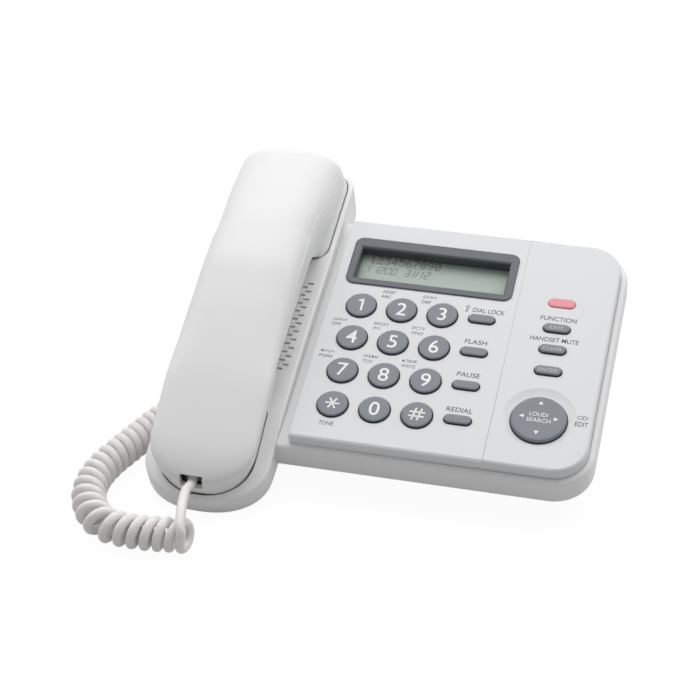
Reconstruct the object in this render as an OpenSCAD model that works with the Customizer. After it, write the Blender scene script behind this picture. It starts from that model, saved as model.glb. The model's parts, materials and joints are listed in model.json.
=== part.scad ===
// Corded desk telephone: tilted base with cradle and key panels, handset,
// curly cord. Lengths in millimetres, +Z up, the desk at z = 0.
// "Deck frame": the tilted base's own frame. Its x and y zero is the key "2",
// its z zero is the seam between the upper shell and the bottom cover.

/* [Base] */
// Overall width of the base
body_w = 195.2; // [193:0.2:200]
// Deck edge ahead of the first key row
deck_front = 80.5; // [79.5:0.5:88]
// Deck edge behind the first key row
deck_rear = 55.5; // [55:0.5:62]
// Plan radius of the deck's right corners
deck_corner = 18; // [15:0.5:21]
// Height of the ledge round the key panels
ledge_h = 12; // [11.6:0.1:12.6]
// Height of the key panels
panel_h = 17.7; // [17.4:0.1:18.4]
// Width of the ledge outside the key panels
ledge_w = 3.3; // [3:0.1:4]
// Margin of the key panels left of the display bezel
bezel_margin = 4.25; // [3.6:0.05:5]
// Middle column of keys, left of the middle of the base
dial_left = 0.8; // [0:0.1:2]
// Wall of the mouldings
wall = 2.2; // [1.8:0.1:2.4]
// Thickness of the bottom cover's plate
cover_t = 1.2; // [1:0.1:1.6]
// Slope of the deck
tilt = 18.5; // [17:0.5:20]
// Depth of the bottom cover's edge below the seam
cover_drop = 1; // [0.6:0.1:1.4]
// Step of the bottom cover's edge behind the upper shell
cover_step = 0.3; // [0.2:0.1:1]
// Gap under the cradle's front edge
front_lift = 0.6; // [0.5:0.1:2]
// Height of the rubber feet below the belly
foot_gap = 1.5; // [1:0.1:2]

/* [Cradle] */
// Half width of the cradle
cradle_a = 28.3; // [28:0.1:29.5]
// Widening of the cradle's right side towards its rear
cradle_flare = 1.5; // [0:0.1:2]
// Cradle's front end ahead of the first key row
cradle_front = 111.5; // [111:0.5:114]
// Cradle's rear end behind the first key row
cradle_rear = 84; // [83.5:0.5:86]
// Height of the cradle's rim at its front end
rim_front = 8.6; // [8.2:0.1:9.4]
// Height of the cradle's top at its rear half
rim_rear = 18; // [17.8:0.1:18.4]
// Wall beside the ear pocket
ear_wall = 1.4; // [1.2:0.1:2]
// Thickness of the pockets' floors
pocket_floor = 2; // [1.6:0.1:2.4]
// Gap between the handset's cups and their pockets
cup_clear = 0.5; // [0.4:0.05:0.8]
// Gap between the handset's cups and the pockets' floors
cup_lift = 0.3; // [0.2:0.05:0.6]
// Number of slot rows over the ringer
slot_rows = 11; // [8:1:11]

/* [Handset] */
// Handset's front end ahead of the first key row
hs_front = 109; // [108.5:0.5:110]
// Handset's rear end behind the first key row
hs_rear = 81.5; // [80.5:0.5:82]
// Half width of the grip
grip_a = 24; // [23:0.1:25]
// Widening of the handset's back over the earpiece
ear_flare = 1.3; // [0:0.1:2]
// Half width of the mouthpiece cup
mouth_a = 21; // [20:0.1:22]
// Height of the grip's underside
grip_z = 28; // [26:0.5:29]
// Wall of the handset
hs_wall = 2.2; // [1.8:0.1:2.6]
// Drop from the handset's top to its parting line
part_drop = 8.6; // [7:0.1:10]
// Diameter of the receiver capsule
receiver_d = 30; // [26:0.5:34]
// Lift of the handset off its cradle
lift_travel = 80; // [40:5:120]

/* [Keys] */
// Column spacing of the dial keys
pitch_x = 19; // [18.6:0.1:19.4]
// Row spacing of the dial keys
pitch_y = 19.3; // [19:0.1:19.6]
// Radius of a dial key
key_r = 6.8; // [6.6:0.02:7.3]
// Length of a pill key
pill_l = 12.8; // [12:0.1:13.6]
// Width of a pill key
pill_w = 5; // [4.4:0.1:5.6]
// Height of the keys above the panels
key_proud = 1.2; // [1:0.1:1.6]
// Travel of the keys
key_travel = 1.5; // [1:0.1:1.6]
// Gap round the keys
key_gap = 0.45; // [0.35:0.05:0.6]
// Radius of the four-way pad
nav_r = 12.3; // [11.6:0.1:12.6]
// Column of the function keys
fn_x = 37.1; // [36.6:0.1:37.6]
// Column of the side panel's keys, right of the seam between the panels
side_in = 20; // [19.4:0.1:20.6]

/* [Display] */
// Length of the display bezel
bezel_l = 78.3; // [77:0.1:79]
// Width of the display bezel
bezel_w = 28.5; // [27.5:0.1:29]
// Width of the bezel's frame at its sides
bezel_side = 3.95; // [3.6:0.05:5]
// Width of the bezel's frame above the window
bezel_head = 6.1; // [5.5:0.1:6.5]
// Width of the bezel's frame below the window
bezel_foot = 3.6; // [3:0.1:4.5]

/* [Cord] */
// Diameter of the cord
cord_d = 4.3; // [4:0.1:4.5]
// Mean radius of the curls
curl_r = 5.6; // [5.4:0.1:6.4]
// Spacing of the curls where the coil is straight
curl_pitch = 5.05; // [5:0.05:6]
// Lean of each curl along the coil
curl_lean = 1; // [0:0.1:1.2]
// Opening of the coil's first curl
curl_open = 2.1; // [0:0.1:3]
// Gap kept between curls on the inside of a bend
curl_gap = 0.75; // [0.7:0.05:1]

/* [Hidden] */

$fn = 48;
e = 0.01;          // overshoot of a cut
fit = 0.2;         // sliding clearance between small parts

// Place of the deck frame above the desk, centred front to back
slab_z = front_lift + cradle_front * sin(tilt) + cover_drop * cos(tilt);
front_reach = cradle_front * cos(tilt) + rim_front * sin(tilt);
rear_reach = (cradle_rear - cover_step) * cos(tilt) + cover_drop * sin(tilt);
slab_y = (front_reach - rear_reach) / 2;
deck_left = dial_left - body_w / 2;
deck_right = dial_left + body_w / 2;
cradle_x = deck_left + cradle_a;

// Key panels
panel_top_t = 2.2;
panel_right = deck_right - ledge_w;
panel_front = deck_front - ledge_w;
panel_rear = deck_rear - ledge_w;
panel_corner = deck_corner - ledge_w;
panel_clear = 0.4;
bezel_c = [9.2, 27.15];               // middle of the display bezel
panel_left = bezel_l / 2 - bezel_c.x + bezel_margin;
split_x = bezel_c.x + bezel_l / 2 + 3.15;
side_x = split_x + side_in;
split_gap = 0.6;
shelf_z = 9.2;
shelf_t = 2;
shelf_w = 3;
under_z = panel_h - panel_top_t;      // underside of the panels

// Circuit board and keys
board_t = 1.6;
board_top = shelf_z + 0.4;
mat_t = 0.8;
flange_t = 1.2;
flange_w = 1.3;
stem_r = 2.6;
stem_end = board_top + mat_t + key_travel + 0.2;
key_top = panel_h + key_proud;
side_rows = [0.4, -11.9, -24.2];
nav_y = -51.4;
nav_axis_z = 11.9;
nav_flange_t = 0.6;
nav_pin_r = 1;
nav_bar_r = 1.2;
nav_arm = nav_r + 3.8;
lamp_y = 15.5;

// Display
window_l = bezel_l - 2 * bezel_side;
window_w = bezel_w - bezel_head - bezel_foot;
window_c = bezel_c + [0, (bezel_foot - bezel_head) / 2];
bezel_proud = 0.6;
bezel_lap = 0.8;
bezel_base = 12.6;
lens_t = 1;
lens_top = 13.3;
lcd_t = 1.8;

// Ringer under the cradle's top
ringer_r = 15.5;
ringer_x = cradle_x + 9.5;
ringer_y = -5;
ringer_h = 5;
slot_pitch = 4.85;
slot_l = 2.8;
slot_w = 1;
slot_x = cradle_x + 23.2;
slot_step = 2.4;
slot_first = 9.35;

// Hook switch in the ear pocket
hook_y = 37;
hook_l = 8.4;
hook_w = 5.4;
hook_rise = lift_travel * 0.05;
hook_flange = 1.3;
hook_drop = hook_rise + 0.3;          // flange below the pocket's floor
hook_body_h = hook_drop + hook_flange + 5.5;

// Belly of the bottom cover, in desk directions
belly_left = cradle_x - dial_left - 15.5;
belly_right = deck_right - dial_left - 27.6;
belly_front = -43;
belly_rear = 62;
belly_corner = 10;
arm_right = belly_left + 34.8;
arm_front = -86;
belly_floor = 2;
jack_block = [13, 22, 22.5];          // block that holds the cord's socket
jack_at = [belly_left - 7, 40, 14];     // middle of the socket's mouth
line_at = [-40, 62, 13];
line_hole = [10, 12, 7];
well_r = 5;

// Battery bay
cell_d = 14.3;
cell_l = 49.5;
cell_gap = 1;
cell_x = 18;
door_t = 1.8;
door_w = 53;
door_lip = 1.2;
bay_w = 3 * cell_d + 2 * cell_gap + 1.2;
bay_y = belly_rear - belly_floor - cell_l - 3.5;
cell_y = bay_y + 1.25;
door_y = bay_y - 2;
bay_h = cell_d + 0.9;
bay_z = foot_gap + door_t + fit;

// Sockets and plugs of the curly cord
plug = [7.6, 11.5, 6];
plug_clear = 0.15;
socket = [12.4, 13.5, 7.8];
port_x = cradle_x - 1.8;
port_y = -104.5;                      // outer end of the handset's plug
port_z = 15.5;
notch_w = 10.2;

// Curve of the cradle's rim: distance behind its front, share of its rise
RIM = [[0, 0], [12, 0.13], [23.5, 0.255], [31.5, 0.415], [38.5, 0.575],
    [49.5, 0.787], [61.5, 0.894], [76, 0.96], [91.5, 1]];
// Curve of the handset's back: distance from the first key row, height
BACK = [[-110, 21.5], [-100, 24.5], [-80, 30.5], [-60, 36], [-40, 40.5],
    [-20, 44.5], [0, 47.2], [20, 47], [40, 44.5], [60, 41], [84, 35.5]];
// Height at which the handset is widest
WAIST = [[-110, 18], [-80, 26], [-60, 30], [-40, 28.8], [0, 27], [40, 24], [84, 20]];
// Step from a cup to the grip: distance past the cup's face, share of rise
STEP = [[-8, 0], [-5, 0.04], [-2.7, 0.22], [0, 0.64], [3.3, 0.8],
    [7.3, 0.94], [13.3, 1]];
ear_face = 24.8;
mouth_face = -62.3;

// Route of the coil's middle line on the desk
COIL = [[-66.7, -117.2], [-73, -117.8], [-82.4, -119], [-91.8, -119.2],
    [-101.8, -117.6], [-109.3, -112], [-115.3, -102.5], [-117.8, -93],
    [-117.8, -83], [-115.8, -73], [-112.8, -64], [-110.1, -56],
    [-107.2, -47.5], [-103.8, -38.5], [-100.3, -30], [-97.3, -20],
    [-95.8, -10], [-95.2, 0], [-94.8, 10], [-94.8, 20]];
// Routes of the straight tails between the plugs and the coil
TAIL_HANDSET = [[-72, -98, 17], [-71, -104, 17.7], [-69.8, -110, 18.3],
    [-68.4, -116, 17.8], [-67.4, -121, 16.3]];
TAIL_BASE = [[-89.4, 23, 15.6], [-90.4, 28, 16.2]];

// ---- shared shapes ----

module on_deck() translate([-dial_left, slab_y, slab_z]) rotate([tilt, 0, 0]) children();

module up(z) translate([0, 0, z]) children();

// Rectangle from corner to corner with round corners
module round_rect(x0, x1, y0, y1, r) {
    translate([x0 + r, y0]) square([x1 - x0 - 2 * r, y1 - y0]);
    translate([x0, y0 + r]) square([x1 - x0, y1 - y0 - 2 * r]);
    for (x = [x0 + r, x1 - r], y = [y0 + r, y1 - r])
        translate([x, y]) circle(r);
}

module pill(l, w) {
    translate([-(l - w) / 2, -w / 2]) square([l - w, w]);
    for (s = [-1, 1]) translate([s * (l - w) / 2, 0]) circle(w / 2);
}

module block(size, at) {
    translate(at - [size.x, size.y, 0] / 2) cube(size);
}

function ease(a, b, v) = let (t = min(1, max(0, (v - a) / (b - a)))) t * t * (3 - 2 * t);

// Long outline with superellipse ends: half width, ends, end lengths, powers
function oval(a, y0, l0, n0, y1, l1, n1, steps = 14) = let (
    q = [for (i = [0:steps]) 90 * i / steps],
    rear = [for (t = q) [a * pow(cos(t), 2 / n1), y1 - l1 + l1 * pow(sin(t), 2 / n1)]],
    front = [for (t = q) [a * pow(cos(t), 2 / n0), y0 + l0 - l0 * pow(sin(t), 2 / n0)]],
    right = concat([for (i = [steps:-1:1]) front[i]], [front[0]], rear))
    concat(right, [for (i = [len(right) - 2:-1:1]) [-right[i].x, right[i].y]]);

// Outline of the cradle, drawn in by a wall; its right side flares to the rear
module cradle_outline(inset) {
    flare = cradle_flare / (cradle_front + cradle_rear);
    translate([cradle_x, 0]) polygon([for (p = oval(cradle_a - inset,
        inset - cradle_front, 22 - inset / 2, 2.25, cradle_rear - inset, 17 - inset / 2, 3))
        [p.x + (p.x > 0 ? flare * (p.y + cradle_front) : 0), p.y]]);
}

// Outline of the deck from the middle of the cradle rightwards, drawn in by a wall
module deck_outline(inset) intersection() {
    round_rect(deck_left, deck_right - inset, inset - deck_front, deck_rear - inset, deck_corner - inset);
    translate([cradle_x, -deck_front - 1]) square([body_w, deck_front + deck_rear + 2]);
}

// Outline of the key panels, grown by a margin
module panel_outline(grow) {
    r = panel_corner + grow;
    left = -panel_left - grow;
    difference() {
        round_rect(left - 2 * r, panel_right + grow, -panel_front - grow, panel_rear + grow, r);
        translate([left - 2 * r - 1, -panel_front - grow - 1])
            square([2 * r + 1, panel_front + panel_rear + 2 * grow + 2]);
    }
}

function rim_z(y) = rim_front + (rim_rear - rim_front) * lookup(y + cradle_front, RIM);

// Side view of the cradle, lowered by a wall, with a rounded rear edge
module rim_side(inset) {
    r = 7;
    y1 = cradle_rear;
    polygon(concat([[-cradle_front - 1, 0]],
        [[-cradle_front - 1, rim_front - inset]],
        [for (p = RIM) [p[0] - cradle_front, rim_z(p[0] - cradle_front) - inset]],
        [for (t = [90:-10:0]) [y1 - r + r * cos(t), rim_rear - r - inset + r * sin(t)]],
        [[y1, 0]]));
}

module cradle_solid(inset, from_z) {
    intersection() {
        up(from_z) linear_extrude(30) cradle_outline(inset);
        translate([deck_left - 1, 0, 0]) rotate([90, 0, 90])
            linear_extrude(2 * cradle_a + 2) rim_side(inset);
    }
}

// ---- handset ----

ear_a = cradle_a - ear_wall - cup_clear;
cup_z = cover_t + pocket_floor + cup_lift;
hs_end_f = 20;
hs_end_r = 14;
hs_sides = 32;
grip_round = 4.5;
mouth_power = 2.2;
ear_power = 3.2;

function hs_end(y, d) = let (
    f = (hs_end_f - hs_front - y) / (hs_end_f - d),
    r = (y - (hs_rear - hs_end_r)) / (hs_end_r - d))
    f > 0 ? [f, mouth_power, 14] : [max(0, r), ear_power, 22];

function hs_bottom(y) = cup_z + (grip_z - cup_z) * (y > (ear_face + mouth_face) / 2
    ? lookup(ear_face - y, STEP) : lookup(y - mouth_face, STEP));

function hs_low_a(y) = grip_a + (ear_a - grip_a) * ease(-1, 8, y - ear_face)
    + (mouth_a - grip_a) * ease(-4, 6, mouth_face - y);

function power(v, n) = sign(v) * pow(abs(v), n);

// How far a rounded lower edge stands in at a height above the grip's underside
function grip_in(y, h) = let (
    r = grip_round * ease(0.85, 1, (hs_bottom(y) - cup_z) / (grip_z - cup_z)))
    r - sqrt(r * r - pow(r - min(r, max(0, h)), 2));

// One cross-section of the handset at y, drawn in by d
function hs_ring(y, d) = let (
    end = hs_end(y, d),
    s = pow(1 - pow(end[0], end[1]), 1 / end[1]),
    sz = pow(1 - pow(end[0], 3), 1 / 3),
    top = lookup(y, BACK) - d,
    low = hs_bottom(y) + d,
    mid = min(max(lookup(y, WAIST), low + 1), top - 3),
    rim = min(rim_z(y) + 0.6, mid - 1))
    [for (i = [0:hs_sides - 1]) let (
        t = 360 - 360 * (i + 0.5) / hs_sides,
        n = t < 180 ? 2.8 : 5,
        z = mid + (t < 180 ? top - mid : mid - low) * power(sin(t), 2 / n),
        drop = min(1, max(0, (mid - z) / (mid - rim))),
        a = grip_a + (hs_low_a(y) - grip_a) * drop + ear_flare * ease(20, 50, y) * (1 - drop)
            - d - grip_in(y, z - low))
        [cradle_x + a * s * power(cos(t), 2 / n), y, end[2] + (z - end[2]) * sz]];

function hs_stations(d) = concat(
    [for (t = [85:-14:15]) hs_end_f - hs_front - (hs_end_f - d) * sin(t)],
    [for (y = [hs_end_f - hs_front:5:mouth_face - 8.5]) y],
    [for (u = [-8, -6.5, -5, -3.8, -2.7, -1.3, 0, 1.6, 3.3, 7.3, 13.3]) mouth_face + u],
    [for (y = [mouth_face + 24:12:ear_face - 16]) y],
    [for (u = [13.3, 7.3, 3.3, 1.6, 0, -1.3, -2.7, -3.8, -5, -6.5, -8]) ear_face - u],
    [for (y = [ear_face + 15:8:hs_rear - hs_end_r - 3]) y],
    [for (t = [0:14:84]) hs_rear - hs_end_r + (hs_end_r - d) * sin(t)]);

// Tube through rings of equal count, closed at both ends
module skin(rings) {
    n = len(rings[0]);
    m = len(rings);
    polyhedron([for (r = rings, p = r) p], concat(
        [[for (j = [0:n - 1]) j]],
        [for (i = [0:m - 2], j = [0:n - 1]) let (k = (j + 1) % n)
            each [[i * n + j, (i + 1) * n + j, (i + 1) * n + k],
                  [i * n + j, (i + 1) * n + k, i * n + k]]],
        [[for (j = [n - 1:-1:0]) (m - 1) * n + j]]));
}

module handset_form(d) skin([for (y = hs_stations(d)) hs_ring(y, d)]);

// Everything above the parting line (or below it), seen from the side
module parting(above) {
    far = above ? 90 : -20;
    translate([cradle_x - 60, 0, 0]) rotate([90, 0, 90]) linear_extrude(120)
        polygon(concat([[-150, far], [-150, BACK[0][1] - part_drop]],
            [for (p = BACK) [p[0], p[1] - part_drop]],
            [[150, BACK[10][1] - part_drop], [150, far]]));
}

module handset_shell() difference() {
    handset_form(0);
    handset_form(hs_wall);
}

mic_y = -86;
ear_y = 54;
hs_screw_y = [-76, 73];
hs_post_r = 3;
mic_r = 4.85;
seat_t = 0.5;                         // pads under the capsules

// Opening in the handset's end for the plug
module notch()
    block([notch_w, 16, plug.z + 2], [port_x, port_y - 5, port_z - plug.z / 2 - 1]);

module handset_back() color("white") on_deck() {
    difference() {
        intersection() {
            handset_shell();
            parting(true);
        }
        notch();
    }
    for (y = hs_screw_y) difference() {
        translate([cradle_x, y, cup_z + 6])
            cylinder(h = lookup(y, BACK) - hs_wall / 2 - cup_z - 6, r = hs_post_r);
        translate([cradle_x, y, cup_z]) cylinder(h = 14, r = 1.2, $fn = 16);
    }
}

module handset_front() color("white") on_deck() difference() {
    union() {
        intersection() {
            handset_shell();
            parting(false);
        }
        for (y = hs_screw_y) translate([cradle_x, y, cup_z + 0.5])
            cylinder(h = 5.3, r = hs_post_r + 0.6);
        translate([cradle_x, ear_y, cup_z + 0.5])
            cylinder(h = hs_wall - 0.5 + seat_t, r = receiver_d / 2 + 1);
        translate([cradle_x, mic_y, cup_z + 0.5])
            cylinder(h = hs_wall - 0.5 + seat_t, r = mic_r + 1);
    }
    for (y = hs_screw_y) translate([cradle_x, y, cup_z - 1]) {
        cylinder(h = 20, r = 1.6, $fn = 16);
        cylinder(h = 3.4, r = 2.8, $fn = 16);
    }
    for (t = [0:60:300]) translate([cradle_x + 6 * cos(t), ear_y + 6 * sin(t), cup_z - 1])
        cylinder(h = 6, r = 1, $fn = 14);
    translate([cradle_x, ear_y, cup_z - 1]) cylinder(h = 6, r = 1, $fn = 14);
    translate([cradle_x, mic_y, cup_z - 1]) cylinder(h = 6, r = 0.9, $fn = 14);
    notch();
}

module receiver_capsule() color("dimgray") on_deck() translate([cradle_x, ear_y, cup_z + hs_wall + seat_t]) {
    difference() {
        cylinder(h = 6.5, r = receiver_d / 2);
        up(-e) cylinder(h = 1, r = receiver_d / 2 - 2);
    }
    up(6.5) cylinder(h = 3, r = receiver_d / 3);
}

module microphone() color("dimgray") on_deck() translate([cradle_x, mic_y, cup_z + hs_wall + seat_t]) {
    cylinder(h = 4, r = mic_r);
    up(4) cylinder(h = 1, r = mic_r - 1.2);
}

module handset_jack() color("gainsboro") on_deck() difference() {
    block(socket, [port_x, port_y + 2.5 + socket.y / 2, port_z - socket.z / 2]);
    block([plug.x + 2 * plug_clear, 2 * plug.y, plug.z + 2 * plug_clear],
        [port_x, port_y + plug_clear, port_z - plug.z / 2 - plug_clear]);
}

module handset_weight() color("slategray") on_deck()
    block([20, 56, 5], [cradle_x, -14, grip_z + hs_wall + 0.3]);

module handset_screws() color("silver") on_deck() for (y = hs_screw_y)
    translate([cradle_x, y, cup_z + 0.5]) {
        cylinder(h = 1.7, r = 2.6, $fn = 32);
        cylinder(h = 11, r = 1.05, $fn = 24);
    }

// ---- upper shell ----

tub_wall = 1.6;
ear_corner = 8;
mouth_corner = 5;

// Plans of the two pockets, grown by a margin
module ear_pocket(grow) translate([cradle_x, 0]) intersection() {
    a = ear_a + cup_clear + grow;
    polygon(oval(a, 0, 20, 2, hs_rear + 0.7 + grow, hs_end_r + grow, ear_power));
    round_rect(-a, a, ear_face - 0.6 - grow, cradle_rear + 20, ear_corner + grow);
}

module mouth_pocket(grow) translate([cradle_x, 0]) intersection() {
    a = mouth_a + cup_clear + grow;
    polygon(oval(a, -hs_front - grow, hs_end_f + grow, mouth_power, 0, 20, 2));
    round_rect(-a, a, -cradle_front - 20, mouth_face + 0.6 + grow, mouth_corner + grow);
}

module pockets(grow) {
    ear_pocket(grow);
    mouth_pocket(grow);
}

case_bosses = [[cradle_x, -45], [cradle_x, 16.5],
    [panel_right - 9, 10.5 - panel_front], [panel_right - 9, panel_rear - 10.5]];
boss_r = 4;
boss_z = 4.2;
boss_pad_r = 8;

module ringer_slots() {
    for (row = [0:slot_rows - 1], col = [0:2])
        translate([slot_x - slot_step * col - slot_l / 2,
            slot_first - slot_pitch * (row + (col % 2) / 2) - slot_w / 2])
            square([slot_l, slot_w]);
}

module base_top() color("white") on_deck() difference() {
    union() {
        difference() {
            union() {
                up(cover_t) linear_extrude(ledge_h - cover_t) deck_outline(0);
                cradle_solid(0, cover_t);
            }
            up(cover_t - 1) linear_extrude(ledge_h - wall - cover_t + 1) deck_outline(wall);
            cradle_solid(wall, cover_t - 1);
            up(ledge_h - wall - 1) linear_extrude(wall + 2) panel_outline(panel_clear);
        }
        intersection() {
            cradle_solid(0, cover_t);
            up(cover_t) linear_extrude(30) pockets(tub_wall);
        }
        difference() {
            up(shelf_z - shelf_t) linear_extrude(ledge_h - wall - shelf_z + shelf_t)
                panel_outline(panel_clear + 1.5);
            up(shelf_z) linear_extrude(wall + 2) panel_outline(panel_clear);
            up(shelf_z - shelf_t - 1) linear_extrude(shelf_t + 2) panel_outline(-shelf_w);
        }
        for (i = [0, 1]) translate(case_bosses[i]) up(boss_z)
            cylinder(h = rim_z(case_bosses[i].y) - wall - boss_z + 0.5, r = boss_r);
        for (i = [2, 3]) {
            translate(case_bosses[i]) up(boss_z) cylinder(h = shelf_z - boss_z, r = boss_r);
            up(shelf_z - shelf_t) linear_extrude(shelf_t) intersection() {
                translate(case_bosses[i]) circle(boss_pad_r);
                panel_outline(panel_clear);
            }
        }
    }
    up(cover_t + pocket_floor) linear_extrude(40) pockets(0);
    up(rim_rear - 6) linear_extrude(10) ringer_slots();
    block([hook_l + 2 * fit, hook_w + 2 * fit, 10], [cradle_x, hook_y, cover_t - 2]);
    for (p = case_bosses) translate(p) up(boss_z - 1) cylinder(h = 5, r = 1.25);
}

// ---- key panels ----

function dial_at(col, row) = [(col - 1) * pitch_x, -row * pitch_y];
fn_rows = [for (k = [0:3]) 0.5 - k * pitch_y];
lamp_at = [side_x, lamp_y];
nav_at = [side_x + 0.3, nav_y];
dial_posts = [[5.6 - panel_left, -70.5], [split_x - 5.5, -70.5],
    [5.6 - panel_left, 9], [split_x - 5.5, 8.4]];
side_posts = [[split_x + 5.5, -70.5], [split_x + 5.5, 46], [panel_right - 9.1, 20]];
post_r = 2.6;

module panel_skin(x0, x1) {
    module part(grow, inset) intersection() {
        panel_outline(grow);
        translate([x0 + inset, -panel_front - 1])
            square([x1 - x0 - 2 * inset, panel_front + panel_rear + 2]);
    }
    difference() {
        up(shelf_z) linear_extrude(panel_h - shelf_z) part(0, 0);
        up(shelf_z - 1) linear_extrude(under_z - shelf_z + 1) part(-2, 2);
        up(shelf_z - 1) linear_extrude(board_top + 1.3 - shelf_z) part(-2, -1);
    }
}

module posts(places) for (p = places) translate(p) difference() {
    up(board_top) cylinder(h = under_z - board_top + 0.5, r = post_r);
    up(board_top - 1) cylinder(h = 5, r = 1.15);
}

module dial_face_plate() color("white") on_deck() difference() {
    union() {
        panel_skin(-panel_left, split_x - split_gap / 2);
        posts(dial_posts);
    }
    for (row = [0:3], col = [0:2]) translate(dial_at(col, row))
        up(under_z - 1) cylinder(h = 8, r = key_r + key_gap);
    for (y = fn_rows) translate([fn_x, y, under_z - 1])
        linear_extrude(8) pill(pill_l + 2 * key_gap, pill_w + 2 * key_gap);
    up(under_z - 1) linear_extrude(8) bezel_outline(-bezel_lap + 0.15);
}

module side_face_plate() color("white") on_deck() difference() {
    union() {
        panel_skin(split_x + split_gap / 2, panel_right);
        posts(side_posts);
        for (s = [-1, 1]) translate(concat(nav_at + [s * nav_arm, 0], nav_axis_z - 2.2))
            block([2, 6, under_z - nav_axis_z + 2.7], [0, 0, 0]);
    }
    for (y = side_rows) translate([side_x, y, under_z - 1])
        linear_extrude(8) pill(pill_l + 2 * key_gap, pill_w + 2 * key_gap);
    translate(lamp_at) up(under_z - 1) linear_extrude(8) pill(pill_l - 0.2, pill_w + 0.3);
    translate(nav_at) up(under_z - 1) cylinder(h = 8, r = nav_r + key_gap);
    translate(nav_at) up(nav_axis_z) rotate([0, 90, 0])
        cylinder(h = 2 * nav_arm + 6, r = nav_bar_r + fit, center = true);
}

module cap_stem() {
    up(stem_end) cylinder(h = under_z - 0.3 - stem_end, r = stem_r);
}

module round_key(col, row) color("slategray") on_deck() translate(dial_at(col, row)) {
    cap_stem();
    up(under_z - 0.3 - flange_t) cylinder(h = flange_t, r = key_r + flange_w);
    up(under_z - 0.4) cylinder(h = key_top - 0.6 - under_z + 0.4, r = key_r);
    up(key_top - 0.6) rotate_extrude() polygon(concat([[0, 0]],
        [for (t = [0:15:90]) [key_r - 0.6 + 0.6 * cos(t), 0.6 * sin(t)]], [[0, 0.6]]));
}

module pill_key(at) color("slategray") on_deck() translate(at) {
    cap_stem();
    up(under_z - 0.3 - flange_t) linear_extrude(flange_t)
        pill(pill_l + 2 * flange_w, pill_w + 2 * flange_w);
    up(under_z - 0.4) linear_extrude(key_top - under_z + 0.1) pill(pill_l, pill_w);
    up(key_top - 0.31) linear_extrude(0.31) pill(pill_l - 0.5, pill_w - 0.5);
}

module key_1() round_key(0, 0);
module key_2() round_key(1, 0);
module key_3() round_key(2, 0);
module key_4() round_key(0, 1);
module key_5() round_key(1, 1);
module key_6() round_key(2, 1);
module key_7() round_key(0, 2);
module key_8() round_key(1, 2);
module key_9() round_key(2, 2);
module key_star() round_key(0, 3);
module key_0() round_key(1, 3);
module key_hash() round_key(2, 3);
module key_lock() pill_key([fn_x, fn_rows[0]]);
module key_flash() pill_key([fn_x, fn_rows[1]]);
module key_pause() pill_key([fn_x, fn_rows[2]]);
module key_redial() pill_key([fn_x, fn_rows[3]]);
module key_function() pill_key([side_x, side_rows[0]]);
module key_mute() pill_key([side_x, side_rows[1]]);
module key_enter() pill_key([side_x, side_rows[2]]);

nav_base = nav_axis_z + nav_bar_r + 0.8;
nav_top = key_top - 0.1;

module nav_pad() color("slategray") on_deck() translate(nav_at) difference() {
    union() {
        up(nav_base) cylinder(h = nav_top - nav_base, r = nav_r);
        up(nav_base) cylinder(h = nav_flange_t, r = nav_r + flange_w);
        for (s = [-1, 1]) up(nav_axis_z - 1.8)
            block([3.6, 1.6, nav_base - nav_axis_z + 2], [0, s * 4.4, 0]);
        up(nav_axis_z) rotate([90, 0, 0]) cylinder(h = 9, r = nav_pin_r, center = true);
    }
    up(nav_top - 0.9) difference() {
        cylinder(h = 2, r = nav_r - 1.3);
        translate([0, -0.8, -1]) cylinder(h = 4, r = nav_r - 3.8);
    }
}

module nav_pivot() color("silver") on_deck() translate(nav_at) up(nav_axis_z) difference() {
    union() {
        rotate([0, 90, 0]) cylinder(h = 2 * nav_arm + 2, r = nav_bar_r, center = true);
        block([6, 6, 2 * nav_bar_r], [0, 0, -nav_bar_r]);
    }
    rotate([90, 0, 0]) cylinder(h = 10, r = nav_pin_r + fit / 2, center = true);
}

mat_collar_r = stem_r + 2.2;

module mat(places, x0, x1, y0, y1) difference() {
    union() {
        up(board_top) linear_extrude(mat_t) round_rect(x0, x1, y0, y1, 2);
        for (p = places) translate(p) up(board_top)
            cylinder(h = stem_end + 0.3 - board_top, r = mat_collar_r);
    }
    for (p = places) translate(p) up(board_top + mat_t) cylinder(h = 6, r = stem_r + 0.5);
    translate(nav_at) up(board_top - 1) cylinder(h = 6, r = 6.4);
}

module keypad_mat() color("lightgray") on_deck() {
    mat(concat([for (row = [0:3], col = [0:2]) dial_at(col, row)], [for (y = fn_rows) [fn_x, y]]),
        -pitch_x - 6, fn_x + 6, -3 * pitch_y - 6, 6);
    mat([for (y = side_rows) [side_x, y]], side_x - 11, side_x + 11, nav_y - 11, 6);
}

module main_board() color("darkgreen") on_deck() difference() {
    up(board_top - board_t) linear_extrude(board_t) panel_outline(-shelf_w - 0.8);
    for (p = concat(dial_posts, side_posts)) translate(p)
        up(board_top - 4) cylinder(h = 6, r = 1.5);
    for (i = [2, 3]) translate(case_bosses[i]) up(board_top - 4) cylinder(h = 6, r = boss_pad_r + 0.8);
}

module board_chips() color("black") on_deck() {
    block([14, 14, 2], [0, -6, board_top - board_t - 2]);
    block([9, 6, 1.8], [24, -26, board_top - board_t - 1.8]);
    block([6, 9, 1.8], [-18, -30, board_top - board_t - 1.8]);
}

module board_capacitors() color("navy") on_deck()
    for (c = [[34, 10, 4, 11], [44, -4, 3.2, 8], [-14, 18, 3.2, 8]])
    translate([c[0], c[1], board_top - board_t - c[3]]) cylinder(h = c[3], r = c[2]);

module board_screws() color("silver") on_deck() for (p = concat(dial_posts, side_posts))
    translate(p) up(board_top - board_t) {
        up(-1.5) cylinder(h = 1.5, r = 2.4, $fn = 32);
        cylinder(h = board_t + 3.5, r = 1.05, $fn = 24);
    }

// ---- display ----

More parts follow.
